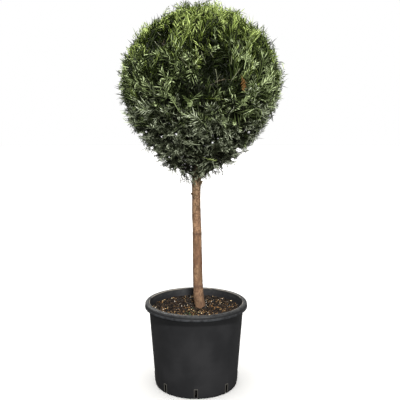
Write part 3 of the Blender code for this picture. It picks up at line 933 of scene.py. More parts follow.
@dataclass(frozen=True)
class NurseryPot:
    """A tapered pot with a rolled, hollow lip and eight drainage slots with raised borders."""

    height: float = 0.270
    rim_radius: float = 0.165
    wall_top_radius: float = 0.1523
    foot_radius: float = 0.133
    wall: float = 0.0024
    floor: float = 0.004
    foot_round: float = 0.003
    foot_steps: int = 3
    lip_drop: float = 0.0165
    lip_wall: float = 0.0026
    lip_round: float = 0.006
    lip_steps: int = 7
    lip_corner: float = 0.001
    lip_foot_rounds: tuple[float, float, float] = (0.0004, 0.0006, 0.0008)
    band_heights: tuple[float, float] = (0.0058, 0.0066)
    band_step: float = 0.0007
    brim_bevel: float = 0.001
    brim_share: float = 0.3
    wall_rings: tuple[float, ...] = (0.090, 0.180)
    floor_ring: float = 0.02
    sides: int = 160
    slot_count: int = 8
    slot_width: float = 0.0086
    slot_height: float = 0.0305
    slot_depth: float = 0.0046
    overrun: float = 0.004
    border: float = 0.0017
    border_proud: float = 0.0014
    border_foot: float = 0.0012
    border_inner_drop: float = 0.0004
    border_round: float = 0.0004
    slot_round: float = 0.0009
    soft_angle: float = 32.0
    border_soft_angle: float = 40.0
    border_colour: Colour = (0.046, 0.044, 0.039)
    plastic: MouldedPlastic = MouldedPlastic()

    def wall_radius(self, height: float) -> float:
        """The outer wall's radius at a height."""
        share = (height - self.foot_round) / (self.height - self.lip_drop - self.foot_round)
        return self.foot_radius + (self.wall_top_radius - self.foot_radius) * share

    def section(self) -> list[tuple[float, float]]:
        """The outline as (radius, height), from the underside to the inner floor."""
        lip_inside = self.rim_radius - self.lip_wall
        lip_foot = self.height - self.lip_drop
        shoulder = self.height - self.lip_wall
        inner, outer, outer_rise = self.lip_foot_rounds
        band_low, band_high = self.band_heights
        points = []
        for step in range(self.foot_steps + 1):
            turn = math.pi / 2 * step / self.foot_steps
            points.append(
                (
                    self.foot_radius - self.foot_round * (1 - math.sin(turn)),
                    self.foot_round * (1 - math.cos(turn)),
                )
            )
        points += [
            *((self.wall_radius(height), height) for height in self.wall_rings),
            (self.wall_top_radius, lip_foot),
            (self.wall_top_radius, shoulder),
            (lip_inside - self.lip_corner, shoulder),
            (lip_inside, shoulder - self.lip_corner),
            (lip_inside, lip_foot + inner),
            (lip_inside + inner, lip_foot),
            (self.rim_radius - outer, lip_foot),
            (self.rim_radius, lip_foot + outer_rise),
            (self.rim_radius, lip_foot + band_low),
            (self.rim_radius - self.band_step, lip_foot + band_high),
        ]
        band = self.rim_radius - self.band_step
        for step in range(self.lip_steps + 1):
            turn = math.pi / 2 * step / self.lip_steps
            points.append(
                (
                    band - self.lip_round * (1 - math.cos(turn)),
                    self.height - self.lip_round * (1 - math.sin(turn)),
                )
            )
        inside = self.wall_top_radius - self.wall
        bevel = self.brim_share * self.brim_bevel
        points += [
            (inside + self.brim_bevel, self.height),
            (inside + bevel, self.height - bevel),
            (inside, self.height - self.brim_bevel),
            (self.foot_radius - self.wall, self.floor),
            (self.floor_ring, self.floor),
        ]
        return points

    def slot_turn(self, index: int) -> float:
        """A slot's azimuth in degrees."""
        return 360.0 * index / self.slot_count - 90.0

    def cut_slots(self, pot: bpy.types.Object) -> None:
        """Opens each slot through the wall, the floor's edge and the underside."""
        reach = self.slot_depth + self.overrun
        height = self.slot_height + self.overrun
        block = add_block(
            (reach, self.slot_width, height),
            (self.foot_radius + self.overrun - reach / 2, 0.0, self.slot_height - height / 2),
        )
        with edit_mode(block):
            bpy.ops.mesh.bevel(offset=self.slot_round, segments=2)
        blocks = [turned_copy(block, self.slot_turn(i)) for i in range(self.slot_count)]
        bpy.data.objects.remove(block)
        subtract(pot, join(blocks, "slot_cutter"))

    def add_borders(self) -> bpy.types.Object:
        """The raised border at the top and the sides of each slot."""
        middle = self.slot_height / 2
        lean = math.atan2(
            self.wall_top_radius - self.foot_radius, self.height - self.lip_drop - self.foot_round
        )
        radius = self.wall_radius(middle)
        depth = self.border_proud + self.wall / 2
        width = self.slot_width + 2 * self.border
        height = self.slot_height + self.border - self.border_foot
        outward = radius + self.border_proud - depth / 2
        upward = middle + self.border / 2 + self.border_foot / 2
        outer = add_block((depth, width, height), (outward, 0.0, upward))
        with edit_mode(outer):
            bpy.ops.mesh.subdivide(number_cuts=3)
        inner = add_block(
            (depth * 3, self.slot_width, self.slot_height),
            (radius, 0.0, middle - self.border_inner_drop),
        )
        subtract(outer, inner)
        soften = outer.modifiers.new("soften", "BEVEL")
        soften.width = self.border_round
        soften.segments = 2
        apply_modifiers(outer)
        pivot = Matrix.Translation((radius, 0.0, middle))
        outer.data.transform(pivot @ Matrix.Rotation(lean, 4, "Y") @ pivot.inverted())
        borders = [turned_copy(outer, self.slot_turn(i)) for i in range(self.slot_count)]
        bpy.data.objects.remove(outer)
        return join(borders, "slot_borders")

    def build(self, effects: Effects) -> None:
        """Models the pot and the borders of its slots, and dresses them."""
        plastic = self.plastic.build("moulded_plastic", effects)
        pot = extrude_through(self.section(), self.sides)
        pot.name = "nursery_pot"
        self.cut_slots(pot)
        shade(pot, self.soft_angle)
        settle(pot, Slot.PLASTIC, [plastic], "pot")
        borders = self.add_borders()
        shade(borders, self.border_soft_angle)
        worn = PlainTint(self.border_colour, roughness=(0.5, 0.7), specular=0.25)
        settle(borders, Slot.PLASTIC, [worn.build("worn_plastic", effects)])


# Potting mix


@dataclass(frozen=True)
class ChipKind:
    """One colour of chips: plain colour, share of the count, sizes, and how many lie in front."""

    name: str
    colour: Colour
    share: float
    sizes: tuple[float, float]
    thickness: float
    front_share: float = 0.5
    clumped: float = -1.0
    # The middle and the spread of the one patch where they lie, if not all over
    patch: tuple[float, float, float] | None = None


CHIP_KINDS = (
    ChipKind("chips_black", (0.0040, 0.0028, 0.0020), 0.42, (0.005, 0.011), 0.30, 0.46),
    ChipKind("chips_umber", (0.022, 0.013, 0.007), 0.23, (0.005, 0.011), 0.26, 0.52),
    ChipKind("chips_amber", (0.120, 0.064, 0.024), 0.15, (0.004, 0.009), 0.24, 0.74, -0.12),
    ChipKind("chips_tan", (0.235, 0.148, 0.067), 0.10, (0.003, 0.007), 0.22, 0.68, -0.06),
    ChipKind("chips_straw", (0.540, 0.400, 0.220), 0.06, (0.003, 0.006), 0.24, 0.60, 0.02),
    ChipKind("grit_white", (0.640, 0.590, 0.520), 0.06, (0.0018, 0.0044), 0.60, 0.36, 0.04),
    ChipKind(
        "moss_green", (0.060, 0.092, 0.034), 0.006, (0.003, 0.005), 0.50,
        patch=(-0.010, -0.060, 0.020),
    ),
)
# Faces of a chip, whose corners count through its two faces, edges and ends
CHIP_FACES = (
    (0, 1, 3), (0, 3, 2), (4, 6, 7), (4, 7, 5), (0, 4, 5), (0, 5, 1),
    (2, 3, 7), (2, 7, 6), (0, 2, 6), (0, 6, 4), (1, 5, 7), (1, 7, 3),
)


@dataclass(frozen=True)
class PottingMix:
    """The mix that fills the pot, and the chips that lie on it."""

    floor_z: float = 0.0044
    foot_radius: float = 0.1301
    foot_gap: float = 0.016
    gap_top_z: float = 0.034
    gap_flare: tuple[float, float] = (0.0025, 0.004)
    edge_radius: float = 0.1474
    edge_z: float = 0.244
    crown_z: float = 0.250
    wall_top_radius: float = 0.1523
    rings: int = 30
    sides: int = 120
    lump_height: float = 0.0034
    lump_scale: float = 62.0
    lump_fade: float = 0.004
    bed_below_chips: float = 0.0028
    chip_count: int = 6000
    chip_edge_clear: float = 0.005
    chip_widths: tuple[float, float] = (0.30, 0.75)
    chip_thickness: tuple[float, float] = (0.6, 1.3)
    chip_thickest: float = 0.0042
    chip_lift: tuple[float, float] = (-0.4, 1.0)
    chip_lift_height: float = 0.0030
    chip_sink: float = 0.001
    chip_tilt: float = 0.35
    chip_corners: tuple[float, float] = (0.55, 1.0)
    clump_scale: float = 48.0
    trunk_place: tuple[float, float] = (0.0145, 0.0)
    trunk_clear: float = 0.0195
    seed: int = 11
    humus: GroundMix = GroundMix()

    def surface(self, x: Array, y: Array) -> Array:
        """The mix's height at places, mounded to the trunk."""
        share = np.minimum(1.0, np.hypot(x, y) / self.wall_top_radius)
        return self.crown_z + (self.edge_z - self.crown_z) * share**2

    def build(self, effects: Effects) -> None:
        """Models the bed of humus and its chips."""
        section = [
            (self.foot_radius - self.foot_gap, self.floor_z),
            (self.foot_radius - self.foot_gap, self.gap_top_z),
            (self.foot_radius + self.gap_flare[0], self.gap_top_z + self.gap_flare[1]),
            (self.edge_radius, self.edge_z),
        ]
        for ring in range(self.rings - 1, 0, -1):
            section.append((self.edge_radius * ring / self.rings, self.edge_z))
        bed = extrude_through(section, self.sides)
        bed.name = "humus_bed"
        points = points_of(bed)
        top = points[:, 2] > self.edge_z - TOUCH
        x, y = points[top, 0], points[top, 1]
        spots = [Vector((a, b, 0.3)) * self.lump_scale for a, b in zip(x, y)]
        lumps = np.array([noise.fractal(spot, 0.9, 2.1, 4) for spot in spots])
        fade = np.clip((self.edge_radius - np.hypot(x, y)) / self.lump_fade, 0.0, 1.0)
        level = self.surface(x, y) - self.bed_below_chips
        points[top, 2] = level + self.lump_height * lumps * fade
        move_points(bed, points)
        shade(bed, 60.0)
        settle(bed, Slot.MIX, [self.humus.build("humus", effects)], "potting_mix")
        rng = np.random.default_rng(self.seed)
        for kind in CHIP_KINDS:
            self.add_chips(kind, effects, rng)

    def add_chips(self, kind: ChipKind, effects: Effects, rng: np.random.Generator) -> None:
        """Scatters the chips of one colour as one joined mesh.

        Args:
            kind: the colour and sizes.
            effects: the shared shader groups.
            rng: the seeded random numbers.
        """
        count = int(self.chip_count * kind.share)
        radius = (self.edge_radius - self.chip_edge_clear) * np.sqrt(rng.random(count))
        turn = 2 * math.pi * rng.random(count)
        x, y = radius * np.cos(turn), radius * np.sin(turn)
        y = np.where(rng.random(count) < kind.front_share, -np.abs(y), np.abs(y))
        if kind.patch:
            middle_x, middle_y, spread = kind.patch
            x = middle_x + spread * rng.standard_normal(count)
            y = middle_y + spread * rng.standard_normal(count)
        trunk_x, trunk_y = self.trunk_place
        free = np.hypot(x - trunk_x, y - trunk_y) > self.trunk_clear + kind.sizes[0] / 2
        clumps = [noise.noise(Vector((a, b, 0.01)) * self.clump_scale) for a, b in zip(x, y)]
        free &= np.array(clumps) > kind.clumped
        x, y = x[free], y[free]
        count = len(x)
        length = rng.uniform(*kind.sizes, count)
        width = length * rng.uniform(*self.chip_widths, count)
        thick = length * kind.thickness * rng.uniform(*self.chip_thickness, count)
        thick = np.minimum(thick, self.chip_thickest)
        lift = rng.uniform(*self.chip_lift, count) * self.chip_lift_height
        middle = np.stack([x, y, self.surface(x, y) + lift - self.chip_sink], axis=1)
        turn = 2 * math.pi * rng.random(count)
        tilt = rng.normal(0.0, self.chip_tilt, count)
        along = unit(np.stack([np.cos(turn), np.sin(turn), tilt], axis=1))
        flat = unit(UPWARD + rng.normal(0.0, self.chip_tilt, (count, 3)))
        side = unit(np.cross(flat, along))
        flat = np.cross(along, side)
        corners = []
        for end, edge, face in product((-1, 1), repeat=3):
            sizes = np.stack([length * end, width * edge, thick * face], axis=1) / 2
            sizes *= rng.uniform(*self.chip_corners, (count, 3))
            level = middle + along * sizes[:, :1] + side * sizes[:, 1:2]
            corners.append(level + flat * sizes[:, 2:])
        bundle = Bundle()
        bundle.add(np.stack(corners, axis=1), np.array(CHIP_FACES))
        tint = PlainTint(kind.colour, roughness=(0.75, 0.95), specular=0.12)
        settle(bundle.build(kind.name, False), Slot.MIX, [tint.build(kind.name, effects)])


# Trunk and boughs


@dataclass(frozen=True)
class Trunk:
    """The stem from the mix to its tip inside the crown, with relief, scars and snags."""

    foot_z: float = 0.2503
    stations: tuple[tuple[float, float, float, float], ...] = (
        (0.0145, 0.0000, 0.2503, 0.0182),
        (0.0112, 0.0004, 0.268, 0.0162),
        (0.0082, 0.0010, 0.296, 0.0151),
        (0.0058, 0.0020, 0.360, 0.0141),
        (0.0045, 0.0032, 0.435, 0.0134),
        (0.0026, 0.0036, 0.510, 0.0129),
        (0.0004, 0.0028, 0.590, 0.0124),
        (0.0014, 0.0012, 0.655, 0.0126),
        (0.0048, 0.0000, 0.715, 0.0112),
        (0.0090, -0.0014, 0.820, 0.0088),
        (0.0130, 0.0006, 0.950, 0.0062),
        (0.0160, 0.0000, 1.078, 0.0034),
    )
    source_steps: int = 2
    fine_steps: int = 26
    bark_thickness: float = 0.0013
    # Relief: scales across and along the stem, and how far it stands out
    plates: tuple[float, float, float] = (95.0, 13.0, 0.00058)
    fibres: tuple[float, float, float] = (420.0, 46.0, 0.00022)
    knots: tuple[float, float, float] = (60.0, 55.0, 0.00045)
    knot_floor: float = 0.25
    # The groove beside a scar: its depth and place as shares of the scar's size, and its tightness
    scar_groove: tuple[float, float, float] = (0.7, 1.6, 6.0)
    foot_shift: float = -0.0014
    foot_shift_span: tuple[float, float] = (0.50, 0.25)
    foot_sunk: float = 0.0075
    flare_lobes: int = 5
    flare_share: float = 0.04
    flare_waist: float = 0.14
    flare_height: float = 0.034
    # Scars of old whorls: height, width along the stem, and how far they stand out
    scars: tuple[tuple[float, float, float], ...] = (
        (0.490, 0.0045, 0.0007),
        (0.320, 0.0050, 0.0006),
        (0.418, 0.0035, 0.0004),
        (0.566, 0.0035, 0.0004),
    )
    # Snags: height of the root, tip, radius of the root and of the tip
    snags: tuple[tuple[float, Point, float, float], ...] = (
        (0.628, (0.0190, -0.0040, 0.6585), 0.0044, 0.0027),
        (0.600, (-0.0152, -0.0030, 0.6195), 0.0030, 0.0021),
    )
    snag_middle: float = 0.6
    snag_flare: float = 1.25
    snag_tip_factor: float = 1.05
    snag_noise: tuple[float, float] = (260.0, 0.0005)
    bark: ThinBark = ThinBark()
    weathered: ThinBark = ThinBark(
        tan=(0.100, 0.066, 0.044), orange=(0.060, 0.034, 0.021), dark=(0.022, 0.013, 0.009)
    )

    def path(self, steps: int) -> list[tuple[float, ...]]:
        """Catmull-Rom points through the stations.

        Args:
            steps: how many steps lie between each two stations.

        Returns:
            The (x, y, z, radius) points.
        """
        padded = [self.stations[0], *self.stations, self.stations[-1]]
        points = []
        for before, start, end, after in zip(padded, padded[1:], padded[2:], padded[3:]):
            for step in range(steps):
                t = step / steps
                points.append(
                    tuple(
                        0.5 * (2 * b + (c - a) * t + (2 * a - 5 * b + 4 * c - d) * t**2
                               + (3 * b - a - 3 * c + d) * t**3)
                        for a, b, c, d in zip(before, start, end, after)
                    )
                )
        return [*points, self.stations[-1]]

    def centre_at(self, height: float) -> Vector:
        """The stem's centre at a height, on the source's path."""
        path = self.path(self.source_steps)
        for low, high in zip(path, path[1:]):
            if low[2] <= height <= high[2]:
                t = (height - low[2]) / (high[2] - low[2])
                return Vector(low[:3]).lerp(Vector(high[:3]), t)
        raise ValueError(f"the trunk has no height {height}")

    def relief(self, points: Array) -> Array:
        """How far the bark stands out at each point of the stem."""
        out = np.empty(len(points))
        (plate, plate_run, rise), (fibre, fibre_run, grain) = self.plates, self.fibres
        knot, knot_run, bump = self.knots
        for i, (x, y, z) in enumerate(points):
            plates = noise.fractal(Vector((x * plate, y * plate, z * plate_run)), 0.7, 2.1, 4)
            fibres = noise.noise(Vector((x * fibre, y * fibre, z * fibre_run)))
            knots = noise.noise(Vector((x * knot, y * knot, z * knot_run + 7.0)))
            out[i] = rise * plates + grain * fibres + bump * max(0.0, knots - self.knot_floor)
        depth, place, tightness = self.scar_groove
        for height, width, proud in self.scars:
            away = (points[:, 2] - height) / width
            groove = depth * proud * np.exp(-((away - place) ** 2) * tightness)
            out += proud * np.exp(-(away**2)) - groove
        return out

    def build(self, effects: Effects) -> None:
        """Models the stem and its snags, and dresses them."""
        bark = self.bark.build("thin_bark", effects)
        stem = tube_object("trunk_bark", self.path(self.fine_steps), 11)
        points = points_of(stem)
        axis = np.array(self.path(self.fine_steps))
        nearest = np.abs(points[:, 2:3] - axis[None, :, 2]).argmin(axis=1)
        offset = points - axis[nearest, :3]
        offset[:, 2] = 0.0
        level = np.linalg.norm(offset, axis=1, keepdims=True)
        outward = np.divide(offset, level, out=np.zeros_like(offset), where=level > 1e-6)
        angle = np.arctan2(outward[:, 1], outward[:, 0])
        share = np.clip(1.0 - (points[:, 2] - self.foot_z) / self.flare_height, 0.0, 1.0)
        lobes = self.flare_share * np.cos(self.flare_lobes * angle) - self.flare_waist
        lobes = lobes * share**2 * level[:, 0]
        points += outward * (self.relief(points) + self.bark_thickness + lobes)[:, None]
        start, span = self.foot_shift_span
        points[:, 0] += self.foot_shift * np.clip((start - points[:, 2]) / span, 0.0, 1.0)
        foot = points[:, 2] < self.foot_z + 2 * TOUCH
        points[foot, 2] = self.foot_z - self.foot_sunk
        move_points(stem, points)
        snags = []
        for height, tip, root_radius, tip_radius in self.snags:
            root = self.centre_at(height)
            middle = root.lerp(Vector(tip), self.snag_middle)
            path = [
                (*root, root_radius * self.snag_flare),
                (*middle, root_radius),
                (*tip, tip_radius * self.snag_tip_factor),
            ]
            snags.append(self.make_snag(path))
        shade(stem, BARK_SOFT_ANGLE)
        settle(stem, Slot.BARK, [bark], "trunk")
        stubs = join(snags, "snags")
        shade(stubs, BARK_SOFT_ANGLE)
        settle(stubs, Slot.BARK, [self.weathered.build("weathered_bark", effects)])

    def make_snag(self, path: Sequence[tuple[float, ...]]) -> bpy.types.Object:
        """A pruned stub with a rough surface."""
        snag = tube_object("snag", path, 3)
        with edit_mode(snag):
            bpy.ops.mesh.subdivide(number_cuts=2, smoothness=0.2)
        points = points_of(snag)
        ways = normals_of(snag)
        scale, height = self.snag_noise
        rough = np.array([noise.fractal(Vector(p) * scale, 0.8, 2.0, 3) for p in points])
        move_points(snag, points + ways * (height * rough)[:, None])
        return snag


def tube_object(name: str, path: Sequence[tuple[float, ...]], roundness: int) -> bpy.types.Object:
    """A closed tapering tube as a mesh, made from a bevelled curve.

    Args:
        name: the object's name.
        path: the (x, y, z, radius) points that it follows.
        roundness: the bevel's resolution.

    Returns:
        The new object.
    """
    curve = bpy.data.curves.new(name, "CURVE")
    curve.dimensions = "3D"
    spline = curve.splines.new("POLY")
    spline.points.add(len(path) - 1)
    for point, (x, y, z, radius) in zip(spline.points, path):
        point.co = (x, y, z, 1.0)
        point.radius = radius
    curve.bevel_depth = 1.0
    curve.bevel_resolution = roundness
    curve.use_fill_caps = True
    tube = bpy.data.objects.new(name, curve)
    bpy.context.scene.collection.objects.link(tube)
    take(tube)
    bpy.ops.object.convert(target="MESH")
    tube = bpy.context.object
    with edit_mode(tube):
        bpy.ops.mesh.remove_doubles(threshold=1e-6)
        bpy.ops.mesh.normals_make_consistent(inside=False)
    return tube


# Crown


@dataclass(frozen=True)
class Outline:
    """The crown's clipped surface, a solid of revolution whose axis leans to +X."""

    centre: Point = (0.012, 0.0, 0.930)
    lean: float = 0.045
    radius: float = 0.254
    widest_z: float = 0.960
    top_z: float = 1.203
    foot_z: float = 0.655
    foot_power: float = 0.82

    def radius_at(self, height: Array) -> Array:
        """The outline's radius at heights: a half ellipsoid above, a rounded cone below."""
        above = np.clip((height - self.widest_z) / (self.top_z - self.widest_z), 0.0, 1.0)
        below = np.clip((self.widest_z - height) / (self.widest_z - self.foot_z), 0.0, 1.0)
        upper = np.sqrt(1.0 - above**2)
        lower = (1.0 - below**2) ** self.foot_power
        return self.radius * np.where(height >= self.widest_z, upper, lower)

    def reach(self, ways: Array) -> Array:
        """The distance from the crown's centre to the outline along each unit way."""
        inside = np.zeros(ways.shape[:-1])
        outside = np.full(ways.shape[:-1], 2 * self.radius)
        centre = np.array(self.centre)
        for _ in range(24):
            middle = (inside + outside) / 2
            points = centre + ways * middle[..., None]
            axis_x = centre[0] + self.lean * (points[..., 2] - centre[2])
            level = np.hypot(points[..., 0] - axis_x, points[..., 1])
            within = level < self.radius_at(points[..., 2])
            inside = np.where(within, middle, inside)
            outside = np.where(within, outside, middle)
        return inside

    def point(self, ways: Array, share: Array | float) -> Array:
        """The points at shares of the way from the crown's centre to the outline."""
        return np.array(self.centre) + ways * (self.reach(ways) * share)[..., None]


def ways_at(azimuth: Array, elevation: Array) -> Array:
    """Unit ways at azimuths and elevations in degrees."""
    turn, rise = np.radians(azimuth), np.radians(elevation)
    level = np.cos(rise)
    return np.stack([level * np.cos(turn), level * np.sin(turn), np.sin(rise)], axis=-1)


class Tier(Enum):
    """Tiers of the crown, from the bottom up."""

    LOWER = "lower"
    MIDDLE = "middle"
    UPPER = "upper"
    CAP = "cap"


@dataclass(frozen=True)
class CellRule:
    """The wavy walls between the crown's cells, in degrees."""

    hole: float = -81.0
    tier_wave: float = 4.5
    wave_count: float = 3.0
    wave_turn: float = 7.0
    side_wave: float = 7.0
    side_turn: float = 5.0

    def tier_wall(self, elevation: float, azimuth: Array) -> Array:
        """The elevation of a wavy wall between two tiers, at azimuths."""
        if elevation in (self.hole, 90.0):
            return np.full_like(azimuth, elevation)
        turn = np.radians(self.wave_count * azimuth + self.wave_turn * elevation)
        return elevation + self.tier_wave * np.sin(turn)

    def side_shift(self, elevation: Array) -> Array:
        """How far the side walls stand aside at elevations."""
        return self.side_wave * np.sin(np.radians(self.side_turn * elevation))


@dataclass(frozen=True)
class Cell:
    """The space of one mass of foliage, round the crown's centre."""

    name: str
    tier: Tier
    azimuth: float
    width: float
    low: float
    high: float
    rule: CellRule = CellRule()

    def direction(self, share_across: Array, share_up: Array) -> Array:
        """The ways to points of the cell, with both shares from 0 to 1 and even in area."""
        elevation = np.full_like(share_across, (self.low + self.high) / 2)
        azimuth = np.full_like(share_across, self.azimuth)
        for _ in range(4):
            turned = (share_across - 0.5) * self.width
            azimuth = self.azimuth + turned + self.rule.side_shift(elevation)
            low = np.sin(np.radians(self.rule.tier_wall(self.low, azimuth)))
            high = np.sin(np.radians(self.rule.tier_wall(self.high, azimuth)))
            elevation = np.degrees(np.arcsin(low + share_up * (high - low)))
        return ways_at(azimuth, elevation)

    def aims(self, count: int, start: float, jitter: float, rng: np.random.Generator) -> Array:
        """Ways spread evenly over the cell by the golden ratio, each moved a little.

        Args:
            count: how many.
            start: where in the ratio's run they start.
            jitter: how far each may move, in shares of the cell.
            rng: the seeded random numbers.

        Returns:
            The unit ways.
        """
        number = np.arange(count)
        side = (GOLDEN_SHARE * (number + 1) + start) % 1.0 + rng.uniform(-jitter, jitter, count)
        up = (number + 0.5) / count + rng.uniform(-jitter, jitter, count)
        return self.direction(side, np.clip(up, 0.0, 1.0))


@dataclass(frozen=True)
class BoughRule:
    """How the boughs of one tier grow, as in the part's source."""

    root_z: float
    stagger: float
    elevation: float
    reach: float
    root_radius: float
    tip_radius: float


TIERS = (
    (Tier.LOWER, 6, 0.0, -81.0, -19.0),
    (Tier.MIDDLE, 6, -90.0, -19.0, 18.0),
    (Tier.UPPER, 5, -54.0, 18.0, 58.0),
)
CAP_ELEVATION = 58.0
BOUGHS = {
    Tier.LOWER: BoughRule(0.660, 0.012, -79.5, 0.88, 0.0047, 0.0034),
    Tier.MIDDLE: BoughRule(0.806, 0.022, -3.0, 0.60, 0.0042, 0.0028),
    Tier.UPPER: BoughRule(0.918, 0.020, 34.0, 0.60, 0.0035, 0.0025),
}


def crown_cells() -> list[Cell]:
    """The cells of the crown, in the order of the part's source."""
    cells = []
    for tier, count, first, low, high in TIERS:
        for i in range(count):
            azimuth = first + 360.0 * i / count
            cells.append(Cell(f"{tier.value}_{i + 1}", tier, azimuth, 360.0 / count, low, high))
    cells.append(Cell("top", Tier.CAP, 0.0, 360.0, CAP_ELEVATION, 90.0))
    return cells


@dataclass(frozen=True)
class Boughs:
    """The main boughs, one to each mass but the topmost."""

    sag: float = 0.06
    sway: float = 0.04
    steps: int = 14
    collar: float = 0.55
    collar_length: float = 0.014
    rough_scale: float = 150.0
    rough_height: float = 0.0004

    def path(self, cell: Cell, index: int, trunk: Trunk, outline: Outline) -> Array:
        """Stations of a bough, from the trunk's centre line out to its tip, sagging a little.

        Args:
            cell: the cell that it leads to.
            index: the cell's number.
            trunk: the trunk that it leaves.
            outline: the crown's outline.

        Returns:
            The (x, y, z, radius) stations.
        """
        rule = BOUGHS[cell.tier]
        odd = index % 2
        root = np.array(trunk.centre_at(rule.root_z + rule.stagger * odd))
        way = ways_at(np.array(cell.azimuth), np.array(rule.elevation))
        tip = outline.point(way, rule.reach)
        span = tip - root
        length = np.linalg.norm(span)
        side = unit(np.cross(span, UPWARD))
        t = np.linspace(0.0, 1.0, self.steps + 1)[:, None]
        arch = 4 * t * (1 - t) * length
        sway = side * arch * (self.sway if odd else -self.sway)
        points = root + span * t + sway - UPWARD * arch * self.sag
        radii = rule.root_radius + (rule.tip_radius - rule.root_radius) * t
        radii = radii * (1 + self.collar * np.exp(-((t * length / self.collar_length) ** 2)))
        return np.hstack([points, radii])

    def build(self, paths: dict[str, Array], bark: bpy.types.Material) -> None:
        """Models every bough and joins them.

        Args:
            paths: the stations of each bough, by its cell's name.
            bark: the bark's material.
        """
        boughs = []
        for name, stations in paths.items():
            bough = tube_object(f"bough_{name}", [tuple(row) for row in stations], 2)
            points = points_of(bough)
            places = [Vector(point) * self.rough_scale for point in points]
            rough = np.array([noise.fractal(place, 0.8, 2.0, 3) for place in places])
            move_points(bough, points + normals_of(bough) * (self.rough_height * rough)[:, None])
            boughs.append(bough)
        joined = join(boughs, "boughs_bark")
        shade(joined, BARK_SOFT_ANGLE)
        settle(joined, Slot.BARK, [bark], *[f"bough_{name}" for name in paths])


@dataclass(frozen=True)
class LeafPalette:
    """Plain colours of the sprays: hues from the crown's foot to its top, each in steps of tone
    that are painted light and shade, the brightest paler as painted sheen.
    """

    hues: tuple[tuple[str, Colour], ...] = (
        ("grey", (0.86, 1.00, 0.60)),
        ("green", (0.77, 1.00, 0.38)),
        ("yellow", (0.74, 1.00, 0.19)),
    )
    hue_heights: tuple[float, float] = (0.40, 0.72)
    hue_spread: float = 0.09
    # Steps of tone: lit and shaded copies of one leaf colour, painted light and shade
    tones: tuple[float, ...] = (0.007, 0.030, 0.110, 0.280, 0.520)
    # The brighter steps are paler and the darker ones deeper in colour: painted sheen on the bright
    # ones
    vividness: tuple[float, ...] = (2.0, 1.6, 1.10, 0.85, 0.68)
    dead: Colour = (0.340, 0.165, 0.052)
    roughness: tuple[float, float] = (0.42, 0.60)
    specular: float = 0.12

    @property
    def dead_slot(self) -> int:
        """The slot of dead sprays, after all the others."""
        return len(self.hues) * len(self.tones)

    def build(self, effects: Effects) -> list[bpy.types.Material]:
        """Makes the materials, in the order of their slots."""
        materials = []
        for hue, shares in self.hues:
            for step, tone in enumerate(self.tones):
                colour = tuple(tone * share ** self.vividness[step] for share in shares)
                tint = PlainTint(colour, self.roughness, self.specular)
                materials.append(tint.build(f"leaf_{hue}_{step + 1}", effects))
        materials.append(PlainTint(self.dead).build("leaf_dead", effects))
        return materials

    def deal(
        self, height: Array, tone: Array, rng: np.random.Generator
    ) -> tuple[Array, Array]:
        """Deals out the slots of each spray.

        Args:
            height: its height in the crown, from 0 at the foot to 1 at the top.
            tone: its tone, as a step from 0 at the darkest.
            rng: the seeded random numbers.

        Returns:
            The slots of the sprays, and the darker ones of their shaded lower halves.
        """
        spread = rng.normal(0.0, self.hue_spread, len(height))
        hue = np.digitize(height + spread, self.hue_heights)
        step = np.clip(np.rint(tone), 0, len(self.tones) - 1).astype(int)
        shaded = np.maximum(step - 2, 0)
        return hue * len(self.tones) + step, hue * len(self.tones) + shaded


@dataclass(frozen=True)
class Sprays:
    """Where some sprays grow, one row for each."""

    root: Array
    tip: Array
    flat: Array
    bend: Array
    slots: Array
    shaded: Array

    def moved(self, step: Array) -> "Sprays":
        """The same sprays, each moved by its own step."""
        root, tip = self.root + step, self.tip + step
        return Sprays(root, tip, self.flat, self.bend, self.slots, self.shaded)

    def kept(self, keep: Array) -> "Sprays":
        """Only the sprays that a mask keeps."""
        parts = (self.root, self.tip, self.flat, self.bend, self.slots, self.shaded)
        return Sprays(*[part[keep] for part in parts])


# Where the photograph shows sky through the crown: x and z in the plane of its axis, and radius
SKY_PLACES = (
    (-0.057, 0.692, 0.0037),
    (0.047, 0.684, 0.0037),
    (-0.035, 0.709, 0.0025),
    (-0.025, 0.679, 0.0028),
    (-0.110, 0.795, 0.0025),
    (-0.138, 0.762, 0.0025),
    (0.053, 0.778, 0.0025),
    (0.088, 0.706, 0.0028),
    (0.116, 0.726, 0.0025),
    (0.152, 0.817, 0.0025),
    (0.165, 0.810, 0.0025),
    (-0.063, 0.804, 0.0022),
    (-0.085, 0.732, 0.0015),
    (-0.129, 0.745, 0.0025),
    (0.067, 0.793, 0.0022),
    (-0.156, 0.812, 0.0025),
    (-0.171, 0.803, 0.0031),
    (-0.014, 0.702, 0.0022),
    (0.133, 0.755, 0.0050),
    (0.060, 0.693, 0.0022),
)


# Faces of a finger: the corners are its root, three round its middle, and its tip
FINGER_FACES = ((0, 2, 1), (4, 1, 2), (0, 3, 2), (4, 2, 3), (0, 1, 3), (4, 3, 1))

# Stations along a spray where it is kept clear of gaps
GAP_STATIONS = 14


@dataclass(frozen=True)
class SkyGaps:
    """Narrow straight gaps through the lower crown, which no spray crosses."""

    centres: Array
    ways: Array
    radii: Array

    def apart(self, points: Array) -> Array:
        """The way to rows of points, as (rows, points, 3), from the nearest point of each gap."""
        offset = points[:, :, None] - self.centres
        along = np.sum(offset * self.ways, axis=-1, keepdims=True)
        return offset - along * self.ways

    def clear(self, points: Array, margin: float) -> Array:
        """Tells which rows of points stay clear of every gap."""
        distance = np.linalg.norm(self.apart(points), axis=-1)
        return np.all(distance > self.radii + margin, axis=(1, 2))

    def aside(self, points: Array, margin: float) -> Array:
        """How far each row of points steps aside to clear the gap that it crosses most."""
        apart = self.apart(points).reshape(len(points), -1, 3)
        distance = np.linalg.norm(apart, axis=-1)
        needed = np.tile(self.radii + margin, points.shape[1]) - distance
        worst = needed.argmax(axis=1)
        rows = np.arange(len(points))
        way = apart[rows, worst] / np.maximum(distance[rows, worst], 1e-6)[:, None]
        return way * np.maximum(needed[rows, worst], 0.0)[:, None]


